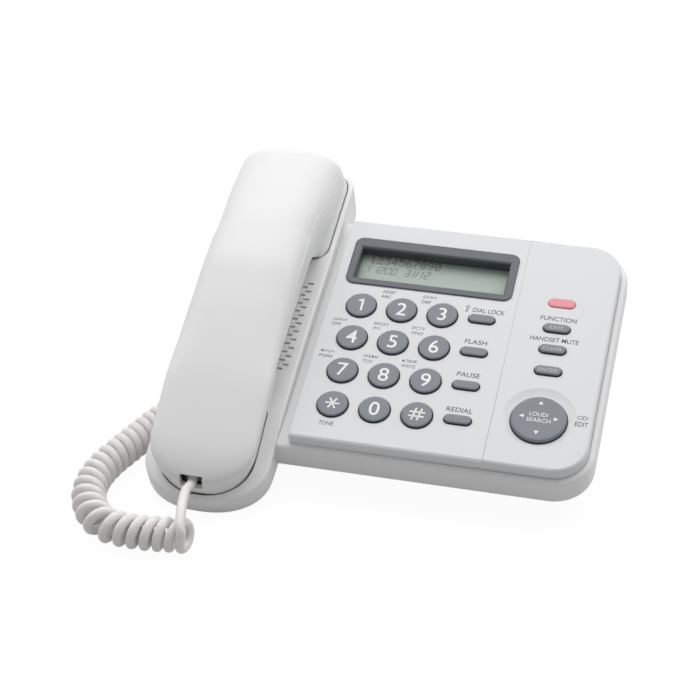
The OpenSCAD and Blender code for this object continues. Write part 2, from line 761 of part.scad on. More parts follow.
module bezel_outline(grow) translate([bezel_c.x, bezel_c.y]) round_rect(-bezel_l / 2 - grow,
    bezel_l / 2 + grow, -bezel_w / 2 - grow, bezel_w / 2 + grow, 4 + grow);

module window_outline(grow) translate([window_c.x, window_c.y])
    square([window_l + 2 * grow, window_w + 2 * grow], center = true);

module display_bezel() color("dimgray") on_deck() difference() {
    union() {
        up(panel_h) linear_extrude(bezel_proud) bezel_outline(0);
        up(bezel_base) linear_extrude(panel_h - bezel_base) bezel_outline(-bezel_lap);
    }
    up(bezel_base - 1) linear_extrude(10) window_outline(0);
    up(bezel_base - 1) linear_extrude(lens_top - bezel_base + 1) window_outline(1.4);
}

module display_lens() color("lightgray", 0.4) on_deck()
    up(lens_top - lens_t) linear_extrude(lens_t) window_outline(1.2);

module lcd_panel() color("darkseagreen") on_deck() {
    up(lens_top - lens_t - 0.3 - lcd_t) linear_extrude(lcd_t) window_outline(0.9);
    up(board_top) linear_extrude(lens_top - lens_t - 0.3 - lcd_t - board_top) difference() {
        window_outline(0.9);
        window_outline(-1.5);
    }
}

module ring_lamp() color("lightpink") on_deck() translate(lamp_at) {
    up(under_z - 1) linear_extrude(1) pill(pill_l + 1.5, pill_w + 2);
    up(under_z - 1) linear_extrude(panel_h + 0.5 - under_z + 1) pill(pill_l - 0.5, pill_w);
}

module ring_led() color("crimson") on_deck() translate(lamp_at) up(board_top) {
    cylinder(h = 2.6, r = 1.5);
    cylinder(h = 0.8, r = 1.9);
}

// ---- ringer and hook switch ----

module ringer_basket() color("dimgray") on_deck()
    translate([ringer_x, ringer_y, rim_rear - wall - 0.2 - ringer_h])
    difference() {
        union() {
            up(ringer_h - 1.4) cylinder(h = 1.4, r = ringer_r);
            cylinder(h = ringer_h - 1, r1 = 8, r2 = 13.2);
            up(-3) cylinder(h = 3.5, r = 8);
        }
        up(1.2) cylinder(h = ringer_h, r1 = 7, r2 = 14.3);
    }

module ringer_cone() color("black") on_deck()
    translate([ringer_x, ringer_y, rim_rear - wall - 0.2 - ringer_h])
    rotate_extrude() polygon([[0, 1.5], [3.5, 1.5], [11, 4.1], [11.4, 4.5], [10.6, 4.8], [3, 2.3], [0, 2.9]]);

module hook_switch_body() color("dimgray") on_deck() difference() {
    block([hook_l + 7.6, hook_w + 7.6, hook_body_h], [cradle_x, hook_y, cover_t - hook_body_h]);
    block([hook_l + 3.2, hook_w + 3.2, hook_body_h], [cradle_x, hook_y, cover_t - hook_body_h + 1.5]);
}

hook_flange_z = cover_t - hook_drop - hook_flange;

module hook_plunger() color("white") on_deck() {
    block([hook_l, hook_w, cover_t + pocket_floor - hook_flange_z], [cradle_x, hook_y, hook_flange_z]);
    block([hook_l + 2.4, hook_w + 2.4, hook_flange], [cradle_x, hook_y, hook_flange_z]);
}

module hook_spring() color("silver") on_deck() translate([cradle_x, hook_y, cover_t - hook_body_h + 1.5])
    difference() {
        cylinder(h = hook_flange_z - cover_t + hook_body_h - 1.5, r = 2.2);
        up(-1) cylinder(h = 20, r = 1.7);
    }

// ---- bottom cover ----

module belly_outline(inset) {
    r = belly_corner - inset;
    round_rect(belly_left + inset, belly_right - inset, belly_front + inset, belly_rear - inset, r);
    round_rect(belly_left + inset, arm_right - inset, arm_front + inset, 0, r);
    translate([belly_left + inset, 0]) square([20, belly_rear - inset]);
}

jack_left = jack_at.x - socket.x / 2 - belly_floor - fit;

module jack_room(inset) translate([jack_left + inset, jack_at.y + inset, foot_gap + inset])
    cube([belly_left - jack_left + 4, jack_block.y - 2 * inset, jack_block.z - 2 * inset]);

module below_deck(z) on_deck() translate([-300, -300, z - 400]) cube([600, 600, 400]);

module bay_shell() {
    w = bay_w + 2 * wall;
    block([w, belly_rear - bay_y + 2, bay_h + 4],
        [cell_x, (belly_rear + bay_y - 2) / 2, foot_gap]);
    block([door_w + 2 * door_lip + 6, belly_rear - door_y + 3, 4],
        [cell_x, (belly_rear + door_y - 3) / 2, foot_gap]);
}

module base_bottom() color("gainsboro") difference() {
    union() {
        difference() {
            union() {
                on_deck() up(-cover_drop) linear_extrude(cover_drop + cover_t) {
                    deck_outline(cover_step);
                    cradle_outline(cover_step);
                }
                intersection() {
                    up(foot_gap) linear_extrude(100) belly_outline(0);
                    below_deck(0.5);
                }
                jack_room(0);
            }
            intersection() {
                up(foot_gap + belly_floor) linear_extrude(100) belly_outline(belly_floor);
                below_deck(cover_t + 1);
            }
            jack_room(belly_floor);
        }
        intersection() {
            on_deck() for (p = case_bosses) translate(p) up(-60) cylinder(h = 60 + boss_z - 0.1, r = well_r);
            union() {
                up(foot_gap) linear_extrude(100) belly_outline(0);
                on_deck() translate([-300, -300, 0]) cube([600, 600, 20]);
            }
            up(foot_gap) translate([-300, -300, 0]) cube([600, 600, 100]);
        }
        bay_shell();
        block([socket.x - 2, socket.y - 2, jack_at.z - socket.z / 2 - foot_gap],
            [jack_at.x, jack_at.y + belly_floor + socket.y / 2, foot_gap]);
        block([12, 12, line_at.z - 6 - foot_gap], [line_at.x, line_at.y - 9, foot_gap]);
    }
    on_deck() for (p = case_bosses) translate(p) {
        up(-80) cylinder(h = 80 + boss_z - 2.4, r = 3.2);
        up(-1) cylinder(h = 10, r = 1.7);
    }
    block([plug.x + 0.6, 6, plug.z + 0.6], [jack_at.x, jack_at.y, jack_at.z - plug.z / 2 - 0.3]);
    block([line_hole.x, 6, line_hole.z], [line_at.x, line_at.y, line_at.z - line_hole.z / 2]);
    block([bay_w, belly_rear - belly_floor - bay_y, bay_h + 2],
        [cell_x, (belly_rear - belly_floor + bay_y) / 2, foot_gap + door_t - 1]);
    translate([cell_x - door_w / 2 - 0.25, door_y - 0.25, foot_gap - 1])
        cube([door_w + 0.5, 80, door_t + 1 + fit]);
    translate([cell_x - door_w / 2 - door_lip - 0.25, door_y - 0.25, foot_gap + 0.8])
        cube([door_w + 2 * door_lip + 0.5, 80, door_t - 0.8 + fit]);
    for (p = foot_places) translate(p) up(foot_gap - 1) cylinder(h = 1.5, r = 5.15);
}

foot_places = [[belly_right - 9, belly_front + 9], [belly_right - 9, belly_rear - 9],
    [belly_left + 9, belly_rear - 9], [cradle_x + 1, arm_front + 9]];

module rubber_feet() color("dimgray") for (p = foot_places) translate(p) {
    cylinder(h = foot_gap + 0.5, r = 5);
}

module battery_door() color("gainsboro") difference() {
    union() {
        translate([cell_x - door_w / 2, door_y, foot_gap])
            cube([door_w, belly_rear - door_y, door_t]);
        translate([cell_x - door_w / 2 - door_lip, door_y, foot_gap + 1])
            cube([door_w + 2 * door_lip, belly_rear - door_y, door_t - 1]);
    }
    for (i = [0:4]) translate([cell_x - 8, door_y + 6 + 2.4 * i, foot_gap - 0.4]) cube([16, 1.2, 0.8]);
}

cell_z = bay_z + cell_d / 2 + 0.3;

module each_cell() for (i = [-1:1])
    translate([cell_x + i * (cell_d + cell_gap), cell_y + cell_l / 2 + 0.5, cell_z])
        rotate([0, 0, 180 * abs(i)]) children();

module batteries() color("darkorange") each_cell() rotate([-90, 0, 0]) {
    translate([0, 0, -cell_l / 2 - 0.5]) cylinder(h = cell_l, r = cell_d / 2);
    translate([0, 0, cell_l / 2 - 0.5]) cylinder(h = 1, r = 2.7);
}

module battery_contacts() color("silver") {
    reach = cell_l / 2 + 0.5;
    each_cell() {
        translate([-4.5, reach + 0.2, -4.5]) cube([9, 0.5, 9]);
        translate([-4.5, -reach - 1.2, -4.5]) cube([9, 0.5, 9]);
        translate([0, -reach - 0.2, 0]) rotate([90, 0, 0]) cylinder(h = 0.7, r = 3);
    }
}

module line_jack() color("dimgray") {
    difference() {
        block([14, 14, 12], [line_at.x, line_at.y - belly_floor - 7, line_at.z - 6]);
        block([line_hole.x, 2 * line_hole.y, line_hole.z],
            [line_at.x, line_at.y - belly_floor, line_at.z - line_hole.z / 2]);
    }
}

module base_handset_jack() color("gainsboro") difference() {
    block(socket, [jack_at.x, jack_at.y + belly_floor + socket.y / 2, jack_at.z - socket.z / 2]);
    block([plug.x + 2 * plug_clear, 2 * plug.y - 3, plug.z + 2 * plug_clear],
        [jack_at.x, jack_at.y + belly_floor, jack_at.z - plug.z / 2 - plug_clear]);
}

module base_screws() color("silver") on_deck() for (p = case_bosses) translate(p) {
    up(boss_z - 2.4 - 1.8) cylinder(h = 1.8, r = 2.8, $fn = 32);
    up(boss_z - 2.4) cylinder(h = 6, r = 1.15, $fn = 24);
}

// ---- curly cord ----

function unit(v) = v / norm(v);

// Smooth curve through a list of points, cut into equal steps of each span
function through(p, steps) = let (n = len(p)) concat(
    [for (i = [0:n - 2], j = [0:steps - 1]) let (
        t = j / steps,
        a = p[max(0, i - 1)], b = p[i], c = p[i + 1], d = p[min(n - 1, i + 2)])
        0.5 * (2 * b + (c - a) * t + (2 * a - 5 * b + 4 * c - d) * t * t
            + (3 * b - a - 3 * c + d) * t * t * t)],
    [p[n - 1]]);

// Rings of a tube along a path, whose sides keep level with a fixed direction
function rings_along(path, r, sides, level) = let (n = len(path))
    [for (i = [0:n - 1]) let (
        t = unit(path[min(n - 1, i + 1)] - path[max(0, i - 1)]),
        u = unit(cross(level[i % len(level)], t)),
        v = cross(t, u))
        [for (j = [0:sides - 1]) let (w = 360 * j / sides)
            path[i] + r * (cos(w) * u + sin(w) * v)]];

curl_rings = 8;
axis = through(COIL, 8);
axis_n = len(axis);
axis_t = [for (i = [0:axis_n - 1])
    unit(axis[min(axis_n - 1, i + 1)] - axis[max(0, i - 1)])];
axis_step = [for (i = [0:axis_n - 2]) norm(axis[i + 1] - axis[i])];
// Turn of the middle line in degrees per millimetre, evened over 8 steps
axis_bend = [for (i = [0:axis_n - 2]) let (a = max(0, i - 4), b = min(axis_n - 1, i + 4),
    c = abs(cross(axis_t[a], axis_t[b]))) asin(min(1, c)) / norm(axis[b] - axis[a])];
// Turn of the curl per millimetre: the curls open up round a bend
curl_rate = [for (i = [0:axis_n - 2]) 360 / max(curl_pitch,
    (cord_d + curl_gap) / (1 - curl_r * axis_bend[i] * PI / 180))];
curl_turn = [for (i = 0, w = 0; i < axis_n; w = w + (i < axis_n - 1 ? axis_step[i] * curl_rate[i] : 0),
    i = i + 1) w];
turn_x = [for (i = [0:axis_n - 1]) [curl_turn[i], axis[i].x]];
turn_y = [for (i = [0:axis_n - 1]) [curl_turn[i], axis[i].y]];
turn_tx = [for (i = [0:axis_n - 1]) [curl_turn[i], axis_t[i].x]];
turn_ty = [for (i = [0:axis_n - 1]) [curl_turn[i], axis_t[i].y]];
coil_z = curl_r + cord_d / 2;
last_turn = 360 * floor((curl_turn[axis_n - 1] - 180) / 360) + 180;

// Direction away from the coil's middle line at a turn, and the point there
function curl_out(w) = let (tx = lookup(w, turn_tx), ty = lookup(w, turn_ty))
    [-cos(w) * ty, cos(w) * tx, -sin(w)];
function curl_at(w) = let (tx = lookup(w, turn_tx), ty = lookup(w, turn_ty))
    [lookup(w, turn_x), lookup(w, turn_y), coil_z] + curl_r * curl_out(w)
    + (curl_lean * cos(w) - (w < 360 ? curl_open * pow(sin(w / 2), 2) : 0)) * [tx, ty, 0];

curl_step = 360 / curl_rings;
curl_path = [for (w = [0:curl_step:last_turn]) curl_at(w)];
curl_n = len(curl_path);
start_dir = unit(curl_at(0) - curl_at(4));
end_dir = unit(curl_at(last_turn) - curl_at(last_turn - 4));
coil_start = curl_path[0] + cord_d * start_dir;
coil_end = curl_path[curl_n - 1] + cord_d * end_dir;
coil_path = concat([coil_start, curl_path[0] + cord_d / 2 * start_dir], curl_path,
    [curl_path[curl_n - 1] + cord_d / 2 * end_dir, coil_end]);
coil_out = [for (i = [0:curl_n + 3]) curl_out(min(last_turn, max(0, (i - 2) * curl_step)))];

// Least gap between a strand of the coil and any strand half a turn or more away
strand_gap = min([for (i = [0:curl_n - 1])
    for (j = [i + 4:min(curl_n - 1, i + 14)]) norm(curl_path[i] - curl_path[j])
        ]) - cord_d;
echo(coil_least_gap = strand_gap, curls = last_turn / 360);

cord_sides = 8;
seam_gap = 0.3;                       // between the handset's tail and the coil
far = 1000;

function deck_point(p) = [p.x - dial_left, slab_y + p.y * cos(tilt) - p.z * sin(tilt),
    slab_z + p.y * sin(tilt) + p.z * cos(tilt)];

port = deck_point([port_x, port_y, port_z]);
port_dir = [0, -cos(tilt), -sin(tilt)];
handset_route = through(concat([port, port + cord_d * port_dir], TAIL_HANDSET,
    [coil_start + cord_d / 2 * start_dir, coil_start + seam_gap * start_dir]), 3);
jack_mouth = [jack_at.x, jack_at.y - 0.5, jack_at.z];
base_route = through(concat([coil_end, coil_end + cord_d / 2 * end_dir], TAIL_BASE,
    [jack_mouth - [0, cord_d, 0], jack_mouth]), 3);

// A tail's route with its end rings square to what they meet
module tail(route, first_dir, last_dir) {
    n = len(route);
    path = concat([route[0] - far * first_dir], route, [route[n - 1] + far * last_dir]);
    rings = rings_along(path, cord_d / 2, cord_sides, [[1, 0, 0]]);
    skin([for (i = [1:n]) rings[i]]);
}

module cord_tail_handset() color("whitesmoke") tail(handset_route, port_dir, -start_dir);

module cord_tail_base() color("whitesmoke") tail(base_route, end_dir, [0, 1, 0]);

module cord_coil() color("whitesmoke") skin(rings_along(coil_path, cord_d / 2, 6, coil_out));

module plug_handset() color("lightgray", 0.7) on_deck()
    translate([port_x, port_y, port_z]) block([plug.x, plug.y, plug.z], [0, plug.y / 2, -plug.z / 2]);

module plug_base() color("lightgray", 0.7)
    translate(jack_mouth) block([plug.x, plug.y, plug.z], [0, plug.y / 2, -plug.z / 2]);

base_bottom();
base_top();
dial_face_plate();
side_face_plate();
display_bezel();
display_lens();
lcd_panel();
keypad_mat();
main_board();
board_chips();
board_capacitors();
board_screws();
ringer_basket();
ringer_cone();
ring_lamp();
ring_led();
hook_switch_body();
hook_plunger();
hook_spring();
base_handset_jack();
line_jack();
battery_door();
battery_contacts();
batteries();
rubber_feet();
base_screws();
key_1();
key_2();
key_3();
key_4();
key_5();
key_6();
key_7();
key_8();
key_9();
key_star();
key_0();
key_hash();
key_lock();
key_flash();
key_pause();
key_redial();
key_function();
key_mute();
key_enter();
nav_pad();
nav_pivot();
handset_back();
handset_front();
receiver_capsule();
microphone();
handset_jack();
handset_weight();
handset_screws();
plug_handset();
cord_tail_handset();
cord_coil();
cord_tail_base();
plug_base();
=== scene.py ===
"""Corded desk telephone: its mouldings, keys, display, lettering and curly cord
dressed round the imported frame. Sizes in the source are millimetres in the deck's
own frame (x right, y up the slope, z out of the deck) unless a name says row."""

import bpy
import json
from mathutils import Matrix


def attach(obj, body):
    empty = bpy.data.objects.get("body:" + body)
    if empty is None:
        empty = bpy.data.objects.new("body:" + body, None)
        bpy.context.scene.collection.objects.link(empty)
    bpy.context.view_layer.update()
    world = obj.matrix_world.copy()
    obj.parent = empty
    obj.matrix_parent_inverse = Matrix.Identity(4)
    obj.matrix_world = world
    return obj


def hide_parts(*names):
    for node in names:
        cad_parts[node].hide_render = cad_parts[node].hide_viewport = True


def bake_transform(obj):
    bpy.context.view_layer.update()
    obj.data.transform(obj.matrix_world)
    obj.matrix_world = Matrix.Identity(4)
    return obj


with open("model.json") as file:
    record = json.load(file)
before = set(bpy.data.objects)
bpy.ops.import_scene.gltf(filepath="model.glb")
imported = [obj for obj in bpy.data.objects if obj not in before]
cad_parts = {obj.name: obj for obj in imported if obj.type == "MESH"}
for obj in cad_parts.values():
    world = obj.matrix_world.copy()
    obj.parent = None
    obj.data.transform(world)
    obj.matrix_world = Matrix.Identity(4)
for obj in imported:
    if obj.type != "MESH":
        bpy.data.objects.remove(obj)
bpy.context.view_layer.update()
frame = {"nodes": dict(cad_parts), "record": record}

import json
import math

import bmesh
import bpy
import numpy as np
from bpy.props import FloatProperty, FloatVectorProperty, PointerProperty
from mathutils import Matrix, Vector

bl_info = {
    "name": "Corded desk telephone",
    "version": (1, 0, 0),
    "blender": (4, 5, 0),
    "location": "View3D > Sidebar > Telephone",
    "description": "Builds the looks of a corded desk telephone round its frame",
    "category": "Object",
}

MM = 0.001
TILT = math.radians(18.5)               # the deck's slope
DECK_AT = (-0.8, 14.3875, 36.9278)      # the deck frame's origin, in the row's mm
DECK = Matrix.Translation([v * MM for v in DECK_AT]) @ Matrix.Rotation(TILT, 4, "X")
DECK_MM = DECK @ Matrix.Scale(MM, 4)

PANEL_TOP, KEY_TOP, LCD_TOP = 17.7, 18.9, 12.0      # tops of the panels, the keys and the display
PANEL_PRINT, KEY_PRINT, LCD_PRINT = PANEL_TOP + 0.02, KEY_TOP + 0.005, LCD_TOP + 0.02
PITCH_X, PITCH_Y = 19.0, 19.3                       # between the dial keys
CRADLE_X = -68.5                                    # the cradle's and the handset's middle


def linear(code):
    """sRGB hex colour as linear RGB."""
    out = []
    for i in (1, 3, 5):
        c = int(code[i:i + 2], 16) / 255
        out.append(c / 12.92 if c <= 0.04045 else ((c + 0.055) / 1.055) ** 2.4)
    return tuple(out)


def length(name, about, value):
    return FloatProperty(name=name, description=about, default=value, unit="LENGTH",
                         subtype="DISTANCE", precision=5)


def colour(name, about, code):
    return FloatVectorProperty(name=name, description=about, default=linear(code), min=0, max=1,
                               subtype="COLOR")


class PhoneSizes(bpy.types.PropertyGroup):
    """Sizes of the dressing."""
    cord_d: length("Cord diameter", "Diameter of the curly cord", 4.3 * MM)
    curl_r: length("Curl radius", "Mean radius of the cord's curls", 5.6 * MM)
    seam: length("Seam", "Depth of the handset's seam", 0.4 * MM)
    panel_round: length("Panel rounding", "Rounding of the key panels' outer edges", 1.3 * MM)
    ledge_round: length("Ledge rounding", "Rounding of the ledge's outer edge", 1.7 * MM)
    rim_round: length("Rim rounding", "Rounding of the cradle's rim", 1.2 * MM)
    hole_round: length("Hole rounding", "Rounding of the key holes' edges", 0.3 * MM)
    split_round: length("Split rounding", "Rounding of the panels' meeting edges", 0.16 * MM)
    digit_h: length("Digit height", "Height of the digits on the keys", 7.3 * MM)
    print_t: length("Print thickness", "How far printed words stand off", 0.02 * MM)


class PhoneColours(bpy.types.PropertyGroup):
    """Colours of the dressing."""
    casing: colour("Casing", "White of the mouldings", "#eeeeee")
    # Painted shade: about an eighth darker than the casing, standing for the lesser light on the sloping
    # deck; the cool tint is the panels' own
    panel: colour("Panels", "Grey-white of the key panels", "#e1e2e4")
    keys: colour("Keys", "Blue-grey of the keys", "#797e85")
    bezel: colour("Bezel", "Display bezel", "#474c53")
    lcd: colour("Display", "Reflective back of the display", "#9db2a4")
    lamp: colour("Lamp", "Ring lamp's window", "#ea8f9a")
    cord: colour("Cord", "Curly cord", "#efecea")
    ink: colour("Dark ink", "Words on the panels", "#353537")
    pale: colour("Pale ink", "Digits on the keys", "#f6f6f6")


def sizes():
    return bpy.context.scene.phone_sizes


def shades():
    return bpy.context.scene.phone_colours


# ---- materials ----

MATERIALS = {}
MIX_A, MIX_B, MIX_OUT = 6, 7, 2         # a mix node's two colours, and its mixed colour


def node(tree, kind, inputs=None, **settings):
    """Adds a node: settings are its properties, inputs the values or sockets that feed it."""
    n = tree.nodes.new(kind)
    for key, value in settings.items():
        setattr(n, key, value)
    for key, value in (inputs or {}).items():
        if isinstance(value, bpy.types.NodeSocket):
            tree.links.new(value, n.inputs[key])
        else:
            n.inputs[key].default_value = value
    return n


def surface(name, base, rough, grain, relief, tone, vary, cloud, pattern=None, **shader):
    """A finish: base colour, roughness, surface grain and relief in mm, and how far
    tone and roughness wander over clouds of so many mm. pattern may redo the colour."""
    m = bpy.data.materials.new(name)
    m.use_nodes = True
    t = m.node_tree
    t.nodes.clear()
    place = node(t, "ShaderNodeTexCoord").outputs["Object"]
    wander, fine = (node(t, "ShaderNodeTexNoise", {
        "Vector": place, "Scale": 1 / (size * MM), "Detail": detail}).outputs["Fac"]
        for size, detail in ((cloud, 3.0), (grain, 2.0)))
    dark = tuple(c * (1 - tone) for c in base) + (1.0,)
    light = tuple(min(1, c * (1 + tone)) for c in base) + (1.0,)
    shade = node(t, "ShaderNodeMix", {0: wander, MIX_A: dark, MIX_B: light},
                 data_type="RGBA").outputs[MIX_OUT]
    if pattern:
        shade = pattern(t, place, shade)
    gloss = node(t, "ShaderNodeMapRange", {
        "Value": wander, "To Min": max(0.0, rough - vary),
        "To Max": min(1.0, rough + vary)}).outputs["Result"]
    bump = node(t, "ShaderNodeBump", {
        "Height": fine, "Distance": relief * MM, "Strength": 1.0}).outputs["Normal"]
    bsdf = node(t, "ShaderNodeBsdfPrincipled", {
        "Base Color": shade, "Roughness": gloss, "Normal": bump, **shader})
    node(t, "ShaderNodeOutputMaterial", {"Surface": bsdf.outputs["BSDF"]})
    MATERIALS[name] = m


def solder_tracks(t, place, under):
    """Copper tracks under green mask, a millimetre wide, and tinned pads."""
    bricks = node(t, "ShaderNodeTexBrick", {
        "Vector": place, "Color1": (0, 0, 0, 1), "Color2": (0.2, 0.2, 0.2, 1), "Mortar": (1, 1, 1, 1),
        "Scale": 1 / (9 * MM), "Mortar Size": 0.06, "Brick Width": 1.1, "Row Height": 0.35})
    tracks = node(t, "ShaderNodeMix", {
        0: bricks.outputs["Fac"], MIX_A: under, MIX_B: (*linear("#3f8a4c"), 1)},
        data_type="RGBA").outputs[MIX_OUT]
    pads = node(t, "ShaderNodeTexVoronoi", {"Vector": place, "Scale": 1 / (5 * MM)}).outputs["Distance"]
    spot = node(t, "ShaderNodeMath", {0: pads, 1: 0.12}, operation="LESS_THAN").outputs[0]
    return node(t, "ShaderNodeMix", {0: spot, MIX_A: tracks, MIX_B: (*linear("#b9bbb4"), 1)},
                data_type="RGBA").outputs[MIX_OUT]


def sleeve_band(t, place, under):
    """A printed stripe down a shrink sleeve."""
    wave = node(t, "ShaderNodeTexWave", {"Vector": place, "Scale": 1 / (14 * MM)}).outputs["Fac"]
    stripe = node(t, "ShaderNodeMath", {0: wave, 1: 0.93}, operation="GREATER_THAN").outputs[0]
    return node(t, "ShaderNodeMix", {0: stripe, MIX_A: under, MIX_B: (*linear("#c9ccd0"), 1)},
                data_type="RGBA").outputs[MIX_OUT]


def make_finishes():
    """One finish for each real material of the telephone."""
    c = shades()
    # Moulded ABS, polished tool with a trace of spark grain: soft wide highlights
    surface("white_abs", tuple(c.casing), 0.42, 0.3, 0.003, 0.008, 0.04, 30, IOR=1.5)
    # The same ABS in the key panels' cooler grey-white from a spark-eroded tool, a shade duller in gloss;
    # its colour is also about an eighth darker than the casing's, painted shade for the lesser light on the
    # sloping deck
    surface("panel_abs_painted_shade", tuple(c.panel), 0.46, 0.3, 0.003, 0.008, 0.04, 30, IOR=1.5)
    # Moulded key caps in a fine matt texture, slightly darker where clouded
    surface("key_plastic", tuple(c.keys), 0.46, 0.22, 0.006, 0.03, 0.04, 7, IOR=1.5)
    # Painted shade: the keys' lower walls get this darker colour to stand for the shade in the gaps round
    # them; a little smoother
    surface("key_wall_painted_shade", linear("#3c4045"), 0.4, 0.3, 0.003, 0.03, 0.04, 7, IOR=1.5)
    # Bezel from a semi-gloss tool
    surface("bezel_plastic", tuple(c.bezel), 0.34, 0.3, 0.003, 0.02, 0.04, 12, IOR=1.5)
    # Polished acrylic window: mostly let through, thin reflections
    surface("lens_acrylic", linear("#eef2ee"), 0.06, 0.5, 0.0, 0.0, 0.02, 20, IOR=1.49, Alpha=0.14)
    # Reflective liquid-crystal glass: green-grey, satin behind its polariser
    surface("lcd_glass", tuple(c.lcd), 0.42, 0.12, 0.002, 0.025, 0.04, 40, IOR=1.52)
    # Dark segments of the liquid crystal
    surface("lcd_segment", linear("#252c28"), 0.45, 0.2, 0.001, 0.05, 0.03, 3, IOR=1.52)
    # Silicone key mat, dull and a little dusty
    surface("pad_rubber", linear("#c9c9c5"), 0.75, 0.2, 0.01, 0.03, 0.05, 9, IOR=1.41)
    # Glass-fibre laminate with green mask over its tracks
    surface("board_laminate", linear("#1f5f32"), 0.4, 0.4, 0.01, 0.05, 0.05, 15, solder_tracks, IOR=1.55)
    # Moulded epoxy of the chips, matt with fine pits
    surface("black_epoxy", linear("#232325"), 0.62, 0.15, 0.01, 0.05, 0.05, 5, IOR=1.55)
    # Shrink sleeve of the capacitors
    surface("capacitor_sleeve", linear("#1f2745"), 0.25, 0.5, 0.003, 0.04, 0.04, 6, sleeve_band, IOR=1.54)
    # Zinc-plated steel, faintly clouded by its passivation
    surface("screw_steel", linear("#b5b8bd"), 0.34, 0.2, 0.004, 0.05, 0.08, 3, Metallic=1.0)
    # Black-painted steel basket
    surface("speaker_steel", linear("#2b2c2e"), 0.4, 0.3, 0.01, 0.05, 0.06, 8, IOR=1.5)
    # Pressed paper cone with fibres
    surface("speaker_cone", linear("#242322"), 0.85, 0.35, 0.05, 0.12, 0.05, 2, IOR=1.45)
    # Diffusing acrylic lamp window, lit through its body
    surface("lamp_plastic", tuple(c.lamp), 0.35, 0.3, 0.003, 0.03, 0.04, 6, IOR=1.49)
    # Red-tinted clear epoxy
    surface("led_epoxy", linear("#c4141c"), 0.12, 0.4, 0.001, 0.04, 0.03, 3, IOR=1.56)
    # Black nylon of sockets and switch, slightly waxy
    surface("jack_plastic", linear("#3a3b3d"), 0.5, 0.25, 0.008, 0.04, 0.05, 6, IOR=1.53)
    # Nickel-plated spring steel
    surface("contact_metal", linear("#cfcdc6"), 0.22, 0.3, 0.002, 0.04, 0.06, 5, Metallic=1.0)
    # Printed film round the cells
    surface("cell_jacket", linear("#c8742a"), 0.28, 0.4, 0.002, 0.04, 0.04, 12, sleeve_band, IOR=1.5)
    # Black rubber feet, dull with wear
    surface("foot_rubber", linear("#3b3b3c"), 0.82, 0.25, 0.02, 0.08, 0.06, 5, IOR=1.52)
    # Drawn steel bar
    surface("pivot_steel", linear("#aeb1b5"), 0.3, 0.15, 0.004, 0.05, 0.06, 4, Metallic=1.0)
    # Satin aluminium cans of the capsules
    surface("capsule_metal", linear("#b4b6b9"), 0.38, 0.2, 0.003, 0.03, 0.05, 6, Metallic=1.0)
    # Bare cast iron, coarse
    surface("weight_iron", linear("#57585a"), 0.6, 0.8, 0.06, 0.15, 0.1, 4, Metallic=1.0)
    # Clear polycarbonate plugs
    surface("plug_plastic", linear("#eef1f2"), 0.1, 0.4, 0.001, 0.0, 0.02, 6, IOR=1.58,
            **{"Transmission Weight": 0.7})
    # Soft PVC jacket, satin, with a faint pull along its length
    surface("cord_pvc", tuple(c.cord), 0.42, 0.35, 0.004, 0.015, 0.05, 14, IOR=1.53)
    # Pad-printed ink: near black on the panels, white on the round keys, grey on the long keys
    surface("dark_ink", tuple(c.ink), 0.5, 0.15, 0.002, 0.05, 0.05, 2, IOR=1.5)
    surface("pale_ink", tuple(c.pale), 0.45, 0.15, 0.002, 0.01, 0.04, 2, IOR=1.5)
    surface("key_legend", linear("#b9bcc1"), 0.5, 0.15, 0.002, 0.01, 0.04, 2, IOR=1.5)


# ---- mesh helpers ----

def finished(name, mesh, slot, body, nodes=(), smooth=35, materials=None):
    """Makes a mesh a piece: shaded, given its slot's finish, riding a body in place of CAD nodes.
    One that rides no body has none; one with no smooth angle keeps the shading it has."""
    obj = bpy.data.objects.new(name, mesh)
    bpy.context.scene.collection.objects.link(obj)
    numbers = [p.material_index for p in mesh.polygons] if materials and len(materials) > 1 else None
    mesh.materials.clear()
    for key in materials or [slot]:
        mesh.materials.append(MATERIALS[key])
    if numbers:
        mesh.polygons.foreach_set("material_index", numbers)
    if smooth:
        mesh.polygons.foreach_set("use_smooth", [True] * len(mesh.polygons))
        mesh.set_sharp_from_angle(angle=math.radians(smooth))
    if body:
        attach(obj, body)
    if nodes:
        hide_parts(*nodes)
    return obj


def mesh_from(name, points, faces, place=DECK_MM, merge=0.0):
    """Mesh of points in mm, put in its place, its doubles merged and normals turned outwards."""
    mesh = bpy.data.meshes.new(name)
    mesh.from_pydata([place @ Vector(p) for p in points], [], faces)
    bm = bmesh.new()
    bm.from_mesh(mesh)
    if merge:
        bmesh.ops.remove_doubles(bm, verts=bm.verts, dist=merge * MM)
        bmesh.ops.dissolve_degenerate(bm, edges=bm.edges, dist=merge * MM)
    bmesh.ops.recalc_face_normals(bm, faces=bm.faces)
    bm.to_mesh(mesh)
    bm.free()
    return mesh


def skin(rings, cap=True):
    """Points and faces of a tube through rings of equal count."""
    n = len(rings[0])
    points = [p for ring in rings for p in ring]
    faces = [(i * n + j, i * n + (j + 1) % n, (i + 1) * n + (j + 1) % n, (i + 1) * n + j)
             for i in range(len(rings) - 1) for j in range(n)]
    if cap:
        faces += [tuple(range(n))[::-1], tuple((len(rings) - 1) * n + j for j in range(n))]
    return points, faces


def joined(name, parts):
    """One mesh of several, each with its material number."""
    bm = bmesh.new()
    for mesh, number in parts:
        start = len(bm.faces)
        bm.from_mesh(mesh)
        bm.faces.ensure_lookup_table()
        for f in bm.faces[start:]:
            f.material_index = number
    out = bpy.data.meshes.new(name)
    bm.to_mesh(out)
    bm.free()
    for mesh, _ in parts:
        bpy.data.meshes.remove(mesh)
    return out


def evaluated(obj, name):
    """The object's shape with its modifiers, as a plain mesh; the object itself goes."""
    bpy.context.view_layer.update()
    mesh = bpy.data.meshes.new_from_object(obj.evaluated_get(bpy.context.evaluated_depsgraph_get()))
    mesh.name = name
    bpy.data.objects.remove(obj, do_unlink=True)
    return mesh


